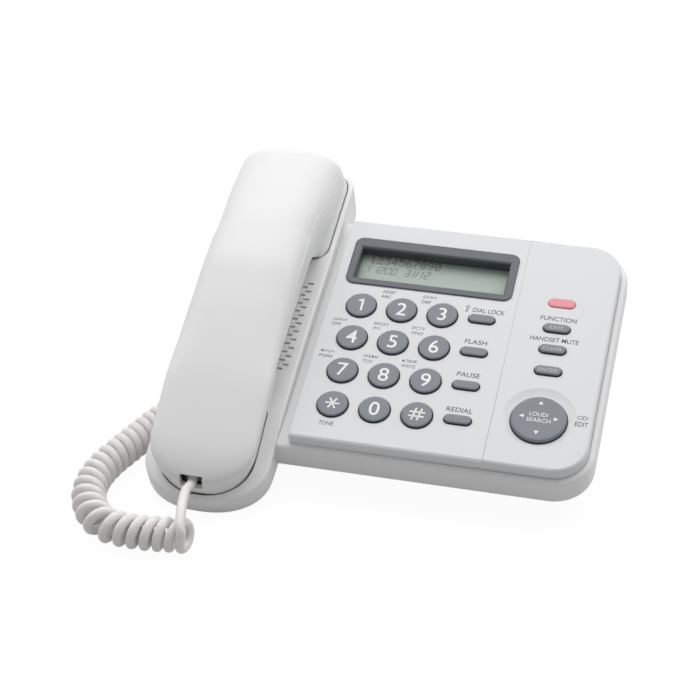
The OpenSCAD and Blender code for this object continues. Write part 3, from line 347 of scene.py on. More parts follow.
def scratch(mesh):
    obj = bpy.data.objects.new("scratch", mesh)
    bpy.context.scene.collection.objects.link(obj)
    return obj


def cut(mesh, cutters):
    """Cuts meshes from a mesh."""
    obj = scratch(mesh)
    others = []
    for c in cutters:
        other = scratch(c)
        m = obj.modifiers.new("cut", "BOOLEAN")
        m.object, m.operation, m.solver = other, "DIFFERENCE", "EXACT"
        others.append(other)
    out = evaluated(obj, mesh.name)
    for other in others:
        bpy.data.objects.remove(other, do_unlink=True)
    return out


def block(size, at):
    """Box of a size, centred in x and y on a point and standing on it."""
    x, y, z = (v / 2 for v in size)
    points = [(at[0] + a * x, at[1] + b * y, at[2] + z + c * z)
              for a in (-1, 1) for b in (-1, 1) for c in (-1, 1)]
    faces = [(0, 1, 3, 2), (4, 6, 7, 5), (0, 4, 5, 1), (2, 3, 7, 6), (0, 2, 6, 4), (1, 5, 7, 3)]
    return mesh_from("block", points, faces)


def circle(r, centre=(0, 0), n=64):
    return [(centre[0] + r * math.cos(math.tau * i / n), centre[1] + r * math.sin(math.tau * i / n))
            for i in range(n)]


def stadium(half_l, half_w, centre=(0, 0), n=20):
    """Outline of a pill shape, half its length and half its width."""
    out = []
    for side in (0, 1):
        for i in range(n + 1):
            a = math.pi * (side + i / n) - math.pi / 2
            cx = (half_l - half_w) * (1 if side == 0 else -1)
            out.append((centre[0] + cx + half_w * math.cos(a), centre[1] + half_w * math.sin(a)))
    return out


def stack(name, outline, levels):
    """Solid through an outline at each level: (inset, z) pairs from the bottom up."""
    rings = [[(x, y, z) for x, y in outline(inset)] for inset, z in levels]
    return mesh_from(name, *skin(rings))


def rod(r, at, z0, z1, n=32):
    return stack("rod", lambda inset: circle(r, at, n), [(0, z0), (0, z1)])


# ---- printed words ----

def words(text, centre, size, z, slant=0.0, weight=0.0):
    """Text as a thin solid whose box is fitted to a centre and a size in mm."""
    curve = bpy.data.curves.new("words", "FONT")
    curve.body, curve.size, curve.shear, curve.offset = text, 1.0, slant, weight
    curve.extrude, curve.resolution_u = 0.5, 6
    mesh = evaluated(scratch(curve), "words")
    bpy.data.curves.remove(curve)
    co = np.array([v.co for v in mesh.vertices])
    low, high = co.min(0), co.max(0)
    wide, tall = size
    tall = tall or wide * (high[1] - low[1]) / (high[0] - low[0])
    wide = wide or tall * (high[0] - low[0]) / (high[1] - low[1])
    t = sizes().print_t / MM
    fit = Matrix.Diagonal((wide / (high[0] - low[0]), tall / (high[1] - low[1]), 2 * t, 1))
    mesh.transform(DECK_MM @ Matrix.Translation((centre[0], centre[1], z)) @ fit
                   @ Matrix.Translation(((-low[0] - high[0]) / 2, (-low[1] - high[1]) / 2, 0)))
    bm = bmesh.new()
    bm.from_mesh(mesh)
    bmesh.ops.remove_doubles(bm, verts=bm.verts, dist=1e-7)
    bm.to_mesh(mesh)
    bm.free()
    return mesh


def strokes(lines, width, centre, z):
    """Bars of a width along lines, as printed."""
    t = sizes().print_t / MM
    parts = []
    for (x0, y0), (x1, y1) in lines:
        a = math.atan2(y1 - y0, x1 - x0)
        dx, dy = -math.sin(a) * width / 2, math.cos(a) * width / 2
        corners = [(x0 - dx, y0 - dy), (x0 + dx, y0 + dy), (x1 + dx, y1 + dy), (x1 - dx, y1 - dy)]
        rings = [[(centre[0] + x, centre[1] + y, z + s * t) for x, y in corners] for s in (-1, 1)]
        parts.append((mesh_from("stroke", *skin(rings)), 0))
    return joined("strokes", parts)


# ---- stage ----

LENS, SENSOR, EYE = 97.714, 36.0, (0.1541349551, -0.71699297734, 0.50966751425)
EYE_AXES = ((0.97153542, 0.23684119, -0.00501841), (-0.12403537, 0.52661976, 0.84100348),
            (0.20182706, -0.81644221, 0.54100643))      # its right, its up and its back
SHADE_LEVEL = 0.33                      # the world's light on the object; the eye sees it at 1
FLOOR_GLOW, FLOOR_SHARE, FLOOR_GREY, FLOOR_HALF = 1.1, 0.86, 0.55, 4.0
# Each lamp's name, place, side and power; all look at AIM
LAMPS = (("key", (-0.25, 0.6, 1.7), 1.6, 17.5), ("left", (-1.4, 0.5, 1.1), 1.2, 6.0),
         ("right", (1.1, 0.75, 1.4), 1.2, 10.0))
AIM = (0, 0, 0.03)


def background_rays(t):
    """1 for the rays that should meet the white background: the eye's, reflections and clear plastic's."""
    path = node(t, "ShaderNodeLightPath").outputs
    seen = path["Is Camera Ray"]
    for other in ("Is Glossy Ray", "Is Transmission Ray"):
        seen = node(t, "ShaderNodeMath", {0: seen, 1: path[other]}, operation="MAXIMUM").outputs[0]
    return seen


def build_stage():
    scene = bpy.context.scene
    camera = bpy.data.cameras.new("camera")
    camera.lens, camera.sensor_width = LENS, SENSOR
    eye = bpy.data.objects.new("camera", camera)
    scene.collection.objects.link(eye)
    eye.matrix_world = Matrix.Translation(EYE) @ Matrix(EYE_AXES).transposed().to_4x4()
    camera.clip_start, camera.clip_end = 0.01, 20
    scene.camera = eye

    scene.view_settings.view_transform = "Standard"
    world = bpy.data.worlds.new("studio")
    scene.world = world
    world.use_nodes = True
    t = world.node_tree
    t.nodes.clear()
    level = node(t, "ShaderNodeMapRange", {
        "Value": background_rays(t), "To Min": SHADE_LEVEL, "To Max": 1.0}).outputs["Result"]
    back = node(t, "ShaderNodeBackground", {"Color": (1, 1, 1, 1), "Strength": level})
    node(t, "ShaderNodeOutputWorld", {"Surface": back.outputs[0]})

    # Matt floor that shows nearly white and keeps the shadow
    m = bpy.data.materials.new("floor_paper")
    m.use_nodes = True
    t = m.node_tree
    t.nodes.clear()
    share = node(t, "ShaderNodeMapRange", {
        "Value": background_rays(t), "To Min": 0.0, "To Max": FLOOR_SHARE}).outputs["Result"]
    paper = node(t, "ShaderNodeBsdfDiffuse", {"Color": (FLOOR_GREY, FLOOR_GREY, FLOOR_GREY, 1)})
    glow = node(t, "ShaderNodeEmission", {"Color": (1, 1, 1, 1), "Strength": FLOOR_GLOW})
    mix = node(t, "ShaderNodeMixShader", {"Fac": share, 1: paper.outputs[0], 2: glow.outputs[0]})
    node(t, "ShaderNodeOutputMaterial", {"Surface": mix.outputs[0]})
    corners = [(x * FLOOR_HALF, y * FLOOR_HALF, 0) for x, y in ((-1, -1), (1, -1), (1, 1), (-1, 1))]
    floor = mesh_from("floor", corners, [(0, 1, 2, 3)], Matrix.Identity(4))
    obj = scratch(floor)
    obj.name = "floor"
    floor.materials.append(m)

    for name, at, side, power in LAMPS:
        lamp = bpy.data.lights.new(name, "AREA")
        lamp.shape, lamp.size, lamp.energy = "SQUARE", side, power
        obj = bpy.data.objects.new(name, lamp)
        scene.collection.objects.link(obj)
        obj.location = at
        obj.rotation_euler = (Vector(AIM) - Vector(at)).to_track_quat("-Z", "Y").to_euler()


# ---- geometry trees ----

def open_tree(name, **kinds):
    """A node tree with an input of each kind given, between its geometry and its material."""
    tree = bpy.data.node_groups.new(name, "GeometryNodeTree")
    tree.is_modifier = True
    for key, kind in {"Geometry": "Geometry", **kinds, "Material": "Material"}.items():
        tree.interface.new_socket(key.replace("_", " "), in_out="INPUT", socket_type="NodeSocket" + kind)
    tree.interface.new_socket("Geometry", in_out="OUTPUT", socket_type="NodeSocketGeometry")
    return tree, node(tree, "NodeGroupInput").outputs


def close_tree(tree, take, geometry):
    """Makes what a tree has grown real, gives it its material and puts it out."""
    real = node(tree, "GeometryNodeRealizeInstances", {"Geometry": geometry})
    paint = node(tree, "GeometryNodeSetMaterial", {
        "Geometry": real.outputs[0], "Material": take["Material"]})
    node(tree, "NodeGroupOutput", {"Geometry": paint.outputs[0]})
    return tree


def grown(name, mesh, tree, **values):
    """Runs a node tree on a mesh with named inputs and returns the result as a plain mesh."""
    obj = scratch(mesh)
    modifier = obj.modifiers.new("grow", "NODES")
    modifier.node_group = tree
    names = {s.name: s.identifier for s in tree.interface.items_tree if s.in_out == "INPUT"}
    for key, value in values.items():
        modifier[names[key.replace("_", " ")]] = value
    return evaluated(obj, name)


# ---- curly cord ----

# Middle line of the coil on the desk, and the straight tails, in the row's mm
COIL = [(-66.7, -117.2), (-73, -117.8), (-82.4, -119), (-91.8, -119.2), (-101.8, -117.6),
        (-109.3, -112), (-115.3, -102.5), (-117.8, -93), (-117.8, -83), (-115.8, -73), (-112.8, -64),
        (-110.1, -56), (-107.2, -47.5), (-103.8, -38.5), (-100.3, -30), (-97.3, -20), (-95.8, -10),
        (-95.2, 0), (-94.8, 10), (-94.8, 20)]
TAIL_HANDSET = [(-72, -98, 17), (-71, -104, 17.7), (-69.8, -110, 18.3), (-68.4, -116, 17.8),
                (-67.4, -121, 16.3)]
TAIL_BASE = [(-89.4, 23, 15.6), (-90.4, 28, 16.2)]
PORT = (-70.3, -104.5, 15.5)        # mouth of the handset's socket, in the deck's frame
JACK = (-91.8, 39.5, 14)            # mouth of the base's socket, in the row's frame
# Least pitch of the curls, how far they lean and the first one opens, and their least gap
CURL_PITCH, CURL_LEAN, CURL_OPEN, CURL_GAP = 5.05, 1.0, 2.1, 0.75
CURL_STEP, TUBE_SIDES = 15, 12      # degrees between points on a curl, and sides of the cord's tube


def through(points, steps):
    """Catmull-Rom curve through points, so many steps to a span."""
    p = [np.array(q, float) for q in points]
    out = []
    for i in range(len(p) - 1):
        a, b, c, d = p[max(0, i - 1)], p[i], p[i + 1], p[min(len(p) - 1, i + 2)]
        for j in range(steps):
            t = j / steps
            out.append(0.5 * (2 * b + (c - a) * t + (2 * a - 5 * b + 4 * c - d) * t * t
                              + (3 * b - a - 3 * c + d) * t ** 3))
    return out + [p[-1]]


def unit(v):
    return v / np.linalg.norm(v)


def cord_path():
    """The cord's middle line from the handset's socket, through the curls, to the base's socket."""
    d, r = sizes().cord_d / MM, sizes().curl_r / MM
    axis = through(COIL, 8)
    n = len(axis)
    along = [unit(axis[min(n - 1, i + 1)] - axis[max(0, i - 1)]) for i in range(n)]
    turn = [0.0]
    for i in range(n - 1):
        a, b = max(0, i - 4), min(n - 1, i + 4)
        cross = abs(along[a][0] * along[b][1] - along[a][1] * along[b][0])
        bend = math.asin(min(1, cross)) / np.linalg.norm(axis[b] - axis[a])
        rate = 360 / max(CURL_PITCH, (d + CURL_GAP) / (1 - r * bend))
        turn.append(turn[-1] + np.linalg.norm(axis[i + 1] - axis[i]) * rate)
    table = np.array([[*axis[i], *along[i]] for i in range(n)])
    last = 360 * math.floor((turn[-1] - 180) / 360) + 180

    def curl_at(w):
        x, y, tx, ty = (np.interp(w, turn, table[:, k]) for k in range(4))
        a = math.radians(w)
        opening = CURL_OPEN * math.sin(a / 2) ** 2 if w < 360 else 0
        slide = CURL_LEAN * math.cos(a) - opening
        return np.array([x - r * math.cos(a) * ty + slide * tx, y + r * math.cos(a) * tx + slide * ty,
                         r + d / 2 - r * math.sin(a)])

    curls = [curl_at(w) for w in range(0, last + 1, CURL_STEP)]
    first, final = unit(curl_at(0) - curl_at(4)), unit(curl_at(last) - curl_at(last - 4))
    port = DECK @ (Vector(PORT) * MM) / MM
    port_dir = np.array([0, -math.cos(TILT), -math.sin(TILT)])
    jack = np.array(JACK)
    head = through([np.array(port), np.array(port) + d * port_dir, *TAIL_HANDSET,
                    curls[0] + 1.5 * d * first, curls[0] + 0.8 * d * first], 6)
    foot = through([curls[-1] + d * final, curls[-1] + 1.5 * d * final, *TAIL_BASE,
                    jack - [0, d, 0], jack], 6)
    return [p * MM for p in (*head, *curls, *foot)]


def tube_tree():
    """Node tree that lays a round tube along a line of edges."""
    tree, take = open_tree("tube along a line", Diameter="Float", Sides="Int")
    line = node(tree, "GeometryNodeMeshToCurve", {"Mesh": take["Geometry"]})
    radius = node(tree, "ShaderNodeMath", {0: take["Diameter"], 1: 0.5}, operation="MULTIPLY")
    ring = node(tree, "GeometryNodeCurvePrimitiveCircle", {
        "Resolution": take["Sides"], "Radius": radius.outputs[0]})
    tube = node(tree, "GeometryNodeCurveToMesh", {
        "Curve": line.outputs[0], "Profile Curve": ring.outputs[0], "Fill Caps": True})
    return close_tree(tree, take, tube.outputs[0])


def build_cord():
    path = cord_path()
    line = bpy.data.meshes.new("line")
    line.from_pydata([Vector(p) for p in path], [(i, i + 1) for i in range(len(path) - 1)], [])
    d = sizes().cord_d
    mesh = grown("curly_cord", line, tube_tree(), Diameter=d, Sides=TUBE_SIDES,
                 Material=MATERIALS["cord_pvc"])
    cord = finished("curly_cord", mesh, "cord_pvc", None, smooth=80)
    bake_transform(cord)
    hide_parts("cord_tail_handset", "cord_coil", "cord_tail_base")


# ---- handset ----

HS_FRONT, HS_REAR, END_F, END_R = 109.0, 81.5, 20.0, 14.0   # its reach, and its rounded ends' lengths
CUP_Z, GRIP_Z = 3.5, 28.0                                   # undersides of the cups and of the grip
GRIP_A, EAR_A, MOUTH_A, FLARE = 24.0, 26.4, 21.0, 1.3       # half widths, and what the back adds
EAR_FACE, MOUTH_FACE = 24.8, -62.3                          # the cups' walls towards the grip
PART_DROP, HS_WALL, GRIP_ROUND = 8.6, 2.2, 4.5
RIM_LOW, RIM_RISE = 8.6, 9.4                                # the cradle's rim: its front and its rise
# Share of the rim's rise along the cradle, tops of the handset's back and its widest level by y,
# and share of the step from a cup's underside up to the grip's
RIM = [(0, 0), (12, .13), (23.5, .255), (31.5, .415), (38.5, .575), (49.5, .787), (61.5, .894),
       (76, .96), (91.5, 1)]
BACK = [(-110, 21.5), (-100, 24.5), (-80, 30.5), (-60, 36), (-40, 40.5), (-20, 44.5), (0, 47.2),
        (20, 47), (40, 44.5), (60, 41), (84, 35.5)]
WAIST = [(-110, 18), (-80, 26), (-60, 30), (-40, 28.8), (0, 27), (40, 24), (84, 20)]
STEP = [(-8, 0), (-5, .04), (-2.7, .22), (0, .64), (3.3, .8), (7.3, .94), (13.3, 1)]


def smooth_table(table):
    """Smooth curve through a table that doesn't overshoot."""
    x, y = np.array(table, float).T
    h, s = np.diff(x), np.diff(y) / np.diff(x)
    m = np.concatenate([[s[0]], np.zeros(len(x) - 2), [s[-1]]])
    for i in range(1, len(x) - 1):
        if s[i - 1] * s[i] > 0:
            a, b = 2 * h[i] + h[i - 1], h[i] + 2 * h[i - 1]
            m[i] = (a + b) / (a / s[i - 1] + b / s[i])

    def at(v):
        v = min(max(v, x[0]), x[-1])
        i = min(max(int(np.searchsorted(x, v)) - 1, 0), len(h) - 1)
        t = (v - x[i]) / h[i]
        return (y[i] * (1 + 2 * t) * (1 - t) ** 2 + m[i] * h[i] * t * (1 - t) ** 2
                + y[i + 1] * t * t * (3 - 2 * t) + m[i + 1] * h[i] * t * t * (t - 1))
    return at


back_z, waist_z, step_share, rim_share = (smooth_table(t) for t in (BACK, WAIST, STEP, RIM))


def ease(a, b, v):
    t = np.clip((v - a) / (b - a), 0, 1)
    return t * t * (3 - 2 * t)


def rim_z(y):
    return RIM_LOW + RIM_RISE * rim_share(y - CRADLE_FRONT)


def section(y, f, front, d):
    """Right half of the handset's section at y, bottom to top, drawn in by d; f runs 0 to 1
    over the rounded end."""
    power, pole = (2.2, 14) if front else (3.2, 22)
    s, sz = max(0.0, 1 - f ** power) ** (1 / power), max(0.0, 1 - f ** 3) ** (1 / 3)
    u = EAR_FACE - y if y > (EAR_FACE + MOUTH_FACE) / 2 else y - MOUTH_FACE
    low = CUP_Z + (GRIP_Z - CUP_Z) * step_share(u) + d
    top = back_z(y) - d
    grip = ease(0.85, 1, step_share(u))
    mid = min(max(waist_z(y), low + 1), top - 3)
    rim = min(rim_z(y) + 0.6, mid - 1)
    low_a = (GRIP_A + (EAR_A - GRIP_A) * ease(-1, 8, y - EAR_FACE)
             + (MOUTH_A - GRIP_A) * ease(-4, 6, MOUTH_FACE - y))
    q = np.linspace(-1, 1, 321)
    t = np.sign(q) * np.abs(q) ** 2 * math.pi / 2
    n = np.where(t > 0, 2.8, 5.0)
    z = mid + np.where(t > 0, top - mid, mid - low) * np.sign(t) * np.abs(np.sin(t)) ** (2 / n)
    drop = np.clip((mid - z) / (mid - rim), 0, 1)
    r = GRIP_ROUND * grip
    a = GRIP_A + (low_a - GRIP_A) * drop ** 1.7 + FLARE * ease(20, 50, y) * (1 - drop) - d
    a = a - r + np.sqrt(r * r - (r - np.clip(z - low, 0, r)) ** 2)
    x = a * s * np.abs(np.cos(t)) ** (2 / n)
    return x, z, pole, sz, back_z(y) - PART_DROP


def evened(x, z, count):
    """A line resampled with more points where it bends."""
    step = np.hypot(np.diff(x), np.diff(z)) + 1e-9
    angle = np.unwrap(np.arctan2(np.diff(z), np.diff(x)))
    bend = np.concatenate([[0], np.abs(np.diff(angle))])
    c = np.concatenate([[0], np.cumsum(step / step.sum() + 1.3 * bend / max(bend.sum(), 1e-9))])
    at = np.linspace(0, c[-1], count)
    return np.interp(at, c, x), np.interp(at, c, z)


def shell_ring(y_out, y_in, f, front, upper, outer_n=46, inner_n=20):
    """C-shaped section of the handset's upper or lower shell."""
    seam = sizes().seam / MM

    def half(y, d, count, gap):
        x, z, pole, sz, part = section(y, f, front, d)
        part += gap if upper else -gap
        edge = np.interp(part, z, x)
        keep = z > part if upper else z < part
        xs, zs = (np.append(edge, x[keep]), np.append(part, z[keep])) if upper else (
            np.append(edge, x[keep][::-1]), np.append(part, z[keep][::-1]))
        xs, zs = evened(xs, zs, count)
        return xs, pole + (zs - pole) * sz

    side = half(y_out, seam, 2, 0.03)
    ox, oz = half(y_out, 0, outer_n, seam * 0.8)
    ix, iz = half(y_in, HS_WALL, inner_n, 0.03)
    ring = [(side[0][0], y_out, side[1][0])] + [(x, y_out, z) for x, z in zip(ox, oz)]
    ring += [(-x, y_out, z) for x, z in zip(ox[-2::-1], oz[-2::-1])] + [(-side[0][0], y_out, side[1][0])]
    ring += [(-x, y_in, z) for x, z in zip(ix, iz)] + [(x, y_in, z) for x, z in zip(ix[-2::-1], iz[-2::-1])]
    return [(CRADLE_X + x, y, z) for x, y, z in ring]


def shell(upper):
    """The handset's upper or lower shell: sections closer together round the cups' walls and ends."""
    start, stop = END_F - HS_FRONT, HS_REAR - END_R
    stations = [(start - END_F * math.sin(t), start - (END_F - HS_WALL) * math.sin(t), math.sin(t), True)
                for t in np.radians([90, 88, 85, 81, 76, 70, 64, 57, 50, 43, 36, 29, 22, 15, 8])]
    y = start
    while y < stop - 0.3:
        stations.append((y, y, 0.0, y < 0))
        near = min(abs(y - MOUTH_FACE - 2), abs(y - EAR_FACE + 2))
        y += 0.7 if near < 11 else 2.2
    stations += [(stop + END_R * math.sin(t), stop + (END_R - HS_WALL) * math.sin(t), math.sin(t), False)
                 for t in np.radians([0, 7, 14, 21, 28, 35, 42, 49, 56, 62, 68, 74, 79, 83, 86, 88, 90])]
    rings = [shell_ring(*s, upper) for s in stations]
    return mesh_from("shell", *skin(rings, cap=False), merge=0.004)


NOTCH, NOTCH_AT = (10.2, 16, 6.2), (PORT[0], PORT[1] - 5, PORT[2] - 2.2)    # round the cord's plug
EAR_HOLES_Y, EAR_HOLES_R, MOUTH_HOLE_Y, SCREW_WELL_R = 54, 6, -86, 2.8


def build_handset():
    back = cut(shell(True), [block(NOTCH, NOTCH_AT)])
    finished("handset_back_shell", back, "white_abs", "handset", ["handset_back"], smooth=40)
    ear = [*circle(EAR_HOLES_R, (CRADLE_X, EAR_HOLES_Y), 6), (CRADLE_X, EAR_HOLES_Y)]
    holes = [rod(1, at, 2, 8, 20) for at in ear] + [rod(0.9, (CRADLE_X, MOUTH_HOLE_Y), 2, 8, 20)]
    holes += [rod(SCREW_WELL_R, (CRADLE_X, y), 2, 6.9, 24) for y in HS_SCREWS_Y]
    front = cut(shell(False), [block(NOTCH, NOTCH_AT), *holes])
    finished("handset_front_shell", front, "white_abs", "handset", ["handset_front"], smooth=40)


# ---- rigid mouldings from the frame ----

SHARPEST, SHADE_ANGLE, ROUND_STEPS = math.radians(24), math.radians(35), 3


def clean(mesh, apart, work):
    """Merges a mesh's points that are nearly one, then lets work change it."""
    bm = bmesh.new()
    bm.from_mesh(mesh)
    bmesh.ops.remove_doubles(bm, verts=bm.verts, dist=apart)
    work(bm)
    bm.to_mesh(mesh)
    bm.free()


def eased(name, rules, cutter=None, shift=None):
    """Copy of a CAD node with rounded edges. Each rule takes an edge's middle in the deck's mm
    and its two faces' normals, and gives a rounding in mm or nothing. shift moves a point, in
    the deck's mm, and cutter is cut away."""
    home, turn = DECK_MM.inverted(), DECK.to_3x3().inverted()

    def move(bm):
        for v in bm.verts if shift else ():
            v.co = DECK_MM @ shift(home @ v.co)

    def weigh(bm):
        bmesh.ops.dissolve_limit(bm, angle_limit=math.radians(0.4), verts=bm.verts, edges=bm.edges)
        weight = bm.edges.layers.float.new("bevel_weight_edge")
        for edge in bm.edges:
            if len(edge.link_faces) != 2 or not edge.is_convex or edge.calc_face_angle(0) < SHARPEST:
                continue
            middle = home @ ((edge.verts[0].co + edge.verts[1].co) / 2)
            normals = [turn @ f.normal for f in edge.link_faces]
            edge[weight] = next((size for size in (rule(middle, normals) for rule in rules) if size), 0) / 2

    mesh = frame["nodes"][name].data.copy()
    clean(mesh, 2e-6, move)
    if cutter:
        mesh = cut(mesh, [cutter])
    clean(mesh, 4e-6, weigh)
    obj = scratch(mesh)
    m = obj.modifiers.new("round", "BEVEL")
    m.limit_method, m.width, m.segments, m.use_clamp_overlap = "WEIGHT", 2 * MM, ROUND_STEPS, False
    m.miter_outer, m.loop_slide = "MITER_ARC", False
    mesh.polygons.foreach_set("use_smooth", [True] * len(mesh.polygons))
    mesh.set_sharp_from_angle(angle=SHADE_ANGLE)
    m = obj.modifiers.new("normals", "WEIGHTED_NORMAL")
    m.mode, m.weight, m.keep_sharp = "FACE_AREA", 90, True
    return evaluated(obj, name)


CRADLE_FRONT, CRADLE_LONG, CRADLE_HALF, CRADLE_FLARE = -111.5, 195.5, 28.3, 1.5
# The cradle's rounded ends: where each starts, its length and its outline's power
FRONT_END, REAR_END = (-89.5, 22, 2.25), (67, 17, 3.0)


def cradle_edge(p):
    """How far outside (+) or inside (-) a point lies from the cradle's outline, about, in mm."""
    half = CRADLE_HALF + (CRADLE_FLARE / CRADLE_LONG * (p.y - CRADLE_FRONT) if p.x > CRADLE_X else 0)
    x = abs(p.x - CRADLE_X)
    if FRONT_END[0] <= p.y <= REAR_END[0]:
        return x - half
    start, reach, power = FRONT_END if p.y < FRONT_END[0] else REAR_END
    u, v = x / half, abs(p.y - start) / reach
    r = (u ** power + v ** power) ** (1 / power)
    return (r - 1) / r * math.hypot(x, v * reach) if r > 0 else -half


# Middles of the key panels' rounded corners, and their radius
CORNER_X, CORNER_REAR, CORNER_FRONT, CORNER_R = 80.4, 37.5, -62.5, 14.7


def past_corner(p):
    """How far a point lies past the corners' middles: to the right, the rear and the front."""
    return p.x - CORNER_X, p.y - CORNER_REAR, CORNER_FRONT - p.y


def panel_edge(p):
    """How far inside (+) the key panels' outline a point lies, in mm."""
    right, rear, front = past_corner(p)
    end = max(rear, front)
    return CORNER_R - (math.hypot(right, end) if right > 0 and end > 0 else max(right, end))


def panel_way(p):
    """Direction out of the key panels' outline at a point."""
    right, rear, front = past_corner(p)
    if right > 0 and max(rear, front) > 0:
        return Vector((right, rear if rear > 0 else -front, 0)).normalized()
    return Vector(max((right, (1, 0, 0)), (rear, (0, 1, 0)), (front, (0, -1, 0)))[1])


def flat_top(normals, least=0.95):
    return max(n.z for n in normals) > least


LEDGE_Z, CRADLE_SIDE, PANEL_SIDE = 12, -38, -38.9     # the ledge's top; where cradle and ledge meet
SLOTS_X, SLOTS_Y = (-54.2, -43.6), (-44, 14)          # the sound slots' field
POCKET_REAR = 66.9                                    # where the rear pocket's wall rises


def build_case():
    s = sizes()

    def rim(p, normals):
        if p.x < CRADLE_SIDE and p.z > 8 and p.z > rim_z(p.y) - 0.4 and flat_top(normals, 0.7):
            if abs(cradle_edge(p)) < 0.35:
                return 0.6 if p.y > 23.5 else s.rim_round / MM
            if p.y > POCKET_REAR and p.z < RIM_LOW + RIM_RISE - 0.1:
                return None
            slot = SLOTS_X[0] < p.x < SLOTS_X[1] and SLOTS_Y[0] < p.y < SLOTS_Y[1]
            return 0.12 if slot else 0.4

    def ledge(p, normals):
        if abs(p.z - LEDGE_Z) < 0.05 and flat_top(normals):
            if p.x > PANEL_SIDE and panel_edge(p) < -2.5:
                return s.ledge_round / MM
            if p.x > -33 and abs(panel_edge(p) + 0.4) < 0.1:
                return 0.25

    for name, node_name, body, rules in (
            ("case_top", "base_top", "base", [rim, ledge]), ("case_bottom", "base_bottom", "base", []),
            ("battery_cover", "battery_door", "battery_door", [lambda p, normals: 0.3])):
        finished(name, eased(node_name, rules), "white_abs", body, [node_name], smooth=None)


PANEL_LEFT, SPLIT_LEFT, SPLIT_RIGHT = -34.2, 51.2, 51.8      # the panels' straight edges
# How far the looks draw in the gaps round and between the panels, and the long keys' holes
SNUG_OUT, SNUG_SPLIT, HOLE_L, HOLE_W = 0.28, 0.295, 0.93, 0.91
# Name, middle and legend of each long key
PILLS = [("lock", 37.1, 0.5, ""), ("flash", 37.1, -18.8, ""), ("pause", 37.1, -38.1, ""),
         ("redial", 37.1, -57.4, ""), ("function", 71.5, 0.4, "EXIT"), ("mute", 71.5, -11.9, "CLEAR"),
         ("enter", 71.5, -24.2, "ENTER")]


def panel_round(p, normals):
    """Rounding of a key panel's edge: outer, split or hole."""
    s = sizes()
    if abs(p.z - PANEL_TOP) > 0.05 or not flat_top(normals):
        return None
    if abs(panel_edge(p)) < 0.6:
        return s.panel_round / MM
    straight = min(abs(p.x - x) for x in (PANEL_LEFT, SPLIT_LEFT, SPLIT_RIGHT)) < 0.4
    return s.split_round / MM if straight else s.hole_round / MM


def snug(p):
    """Draws in a key panel's gaps at a point."""
    if abs(panel_edge(p)) < 0.1:
        p = p + SNUG_OUT * panel_way(p)
    for _, x, y, _ in PILLS:
        dx, dy = p.x - x, p.y - y
        if abs(dx) < 7 and abs(dy) < 3:
            p.x, p.y = x + dx * HOLE_L, y + dy * HOLE_W
    for x, by in ((PANEL_LEFT, -SNUG_OUT), (SPLIT_LEFT, SNUG_SPLIT), (SPLIT_RIGHT, -SNUG_SPLIT)):
        if abs(p.x - x) < 0.05:
            p.x += by
            break
    return p


DISH_AT, DISH_SLIP = (71.8, -49.8), 1.4             # the hollow's rim; how far its floor lies ahead
DISH_RIM, DISH_FLOOR, DISH_DEPTH = 16.2, 12.6, 0.8


def build_panels():
    levels = [(DISH_FLOOR - 0.4, PANEL_TOP - DISH_DEPTH)]
    levels += [(DISH_FLOOR + (DISH_RIM - DISH_FLOOR) * t, PANEL_TOP - DISH_DEPTH * (1 - t ** 1.6))
               for t in (k / 12 for k in range(13))] + [(DISH_RIM, PANEL_TOP + 3)]
    rings = []
    for r, z in levels:
        slip = DISH_SLIP * (1 - max(0, (r - DISH_FLOOR) / (DISH_RIM - DISH_FLOOR)))
        rings.append([(x, y, z) for x, y in circle(r, (DISH_AT[0], DISH_AT[1] - slip), 96)])
    for name, node_name, cutter in (("dial_panel", "dial_face_plate", None),
                                    ("side_panel", "side_face_plate", mesh_from("dish", *skin(rings)))):
        finished(name, eased(node_name, [panel_round], cutter, snug), "white_abs", "base", [node_name],
                 smooth=None, materials=["panel_abs_painted_shade"])


WINDOW, WINDOW_HALF = (9.2, 25.9), (35, 9.3)        # the display's window


def build_display():
    def edges(p, normals):
        if p.z < 15.2:
            return None
        x, y = p.x - WINDOW[0], p.y - WINDOW[1]
        if abs(x) > WINDOW_HALF[0] + 0.5 or abs(y) > WINDOW_HALF[1] + 0.4:
            return 0.45
        return 1.2 if y > WINDOW_HALF[1] or x < -WINDOW_HALF[0] else 0.4

    finished("display_frame", eased("display_bezel", [edges]), "bezel_plastic", "base",
             ["display_bezel"], smooth=None)


# ---- keys ----

DIAL = ["1", "2", "3", "4", "5", "6", "7", "8", "9", "star", "0", "hash"]
KEY_R, KEY_FLANGE, KEY_STEM_R = 6.8, 1.3, 2.6
PILL_HALF, PILL_STEM_R = (5.95, 2.3), 2.3           # half a long key's length and width
FLANGE_Z, FLANGE_TOP, STEM_Z = 14.0, 15.2, 12.1
KEY_SHADE_TOP, PAD_SHADE_TOP = 18.2, 17.5                   # tops of the keys' and the pad's walls painted dark as shade
# Insets and levels of a key's wall and rounded top
KEY_TOP_RINGS = [(0, FLANGE_TOP), (0, 18.35), (0.04, 18.52), (0.13, 18.67), (0.27, 18.79),
                 (0.46, 18.86), (0.7, 18.89), (1.1, KEY_TOP)]


def key(name, piece, parts, level, ink):
    """Finishes a key: body, print, and painted shade on its walls under a level in the deck's mm."""
    mesh, home = joined(piece, parts), DECK_MM.inverted()
    # Faces of the body under the level take the third finish, a darker colour painted as shade
    for p in mesh.polygons:
        if p.material_index == 0 and (home @ p.center).z < level:
            p.material_index = 2
    finished(piece, mesh, "key_plastic", name, [name], smooth=38,
             materials=["key_plastic", ink, "key_wall_painted_shade"])


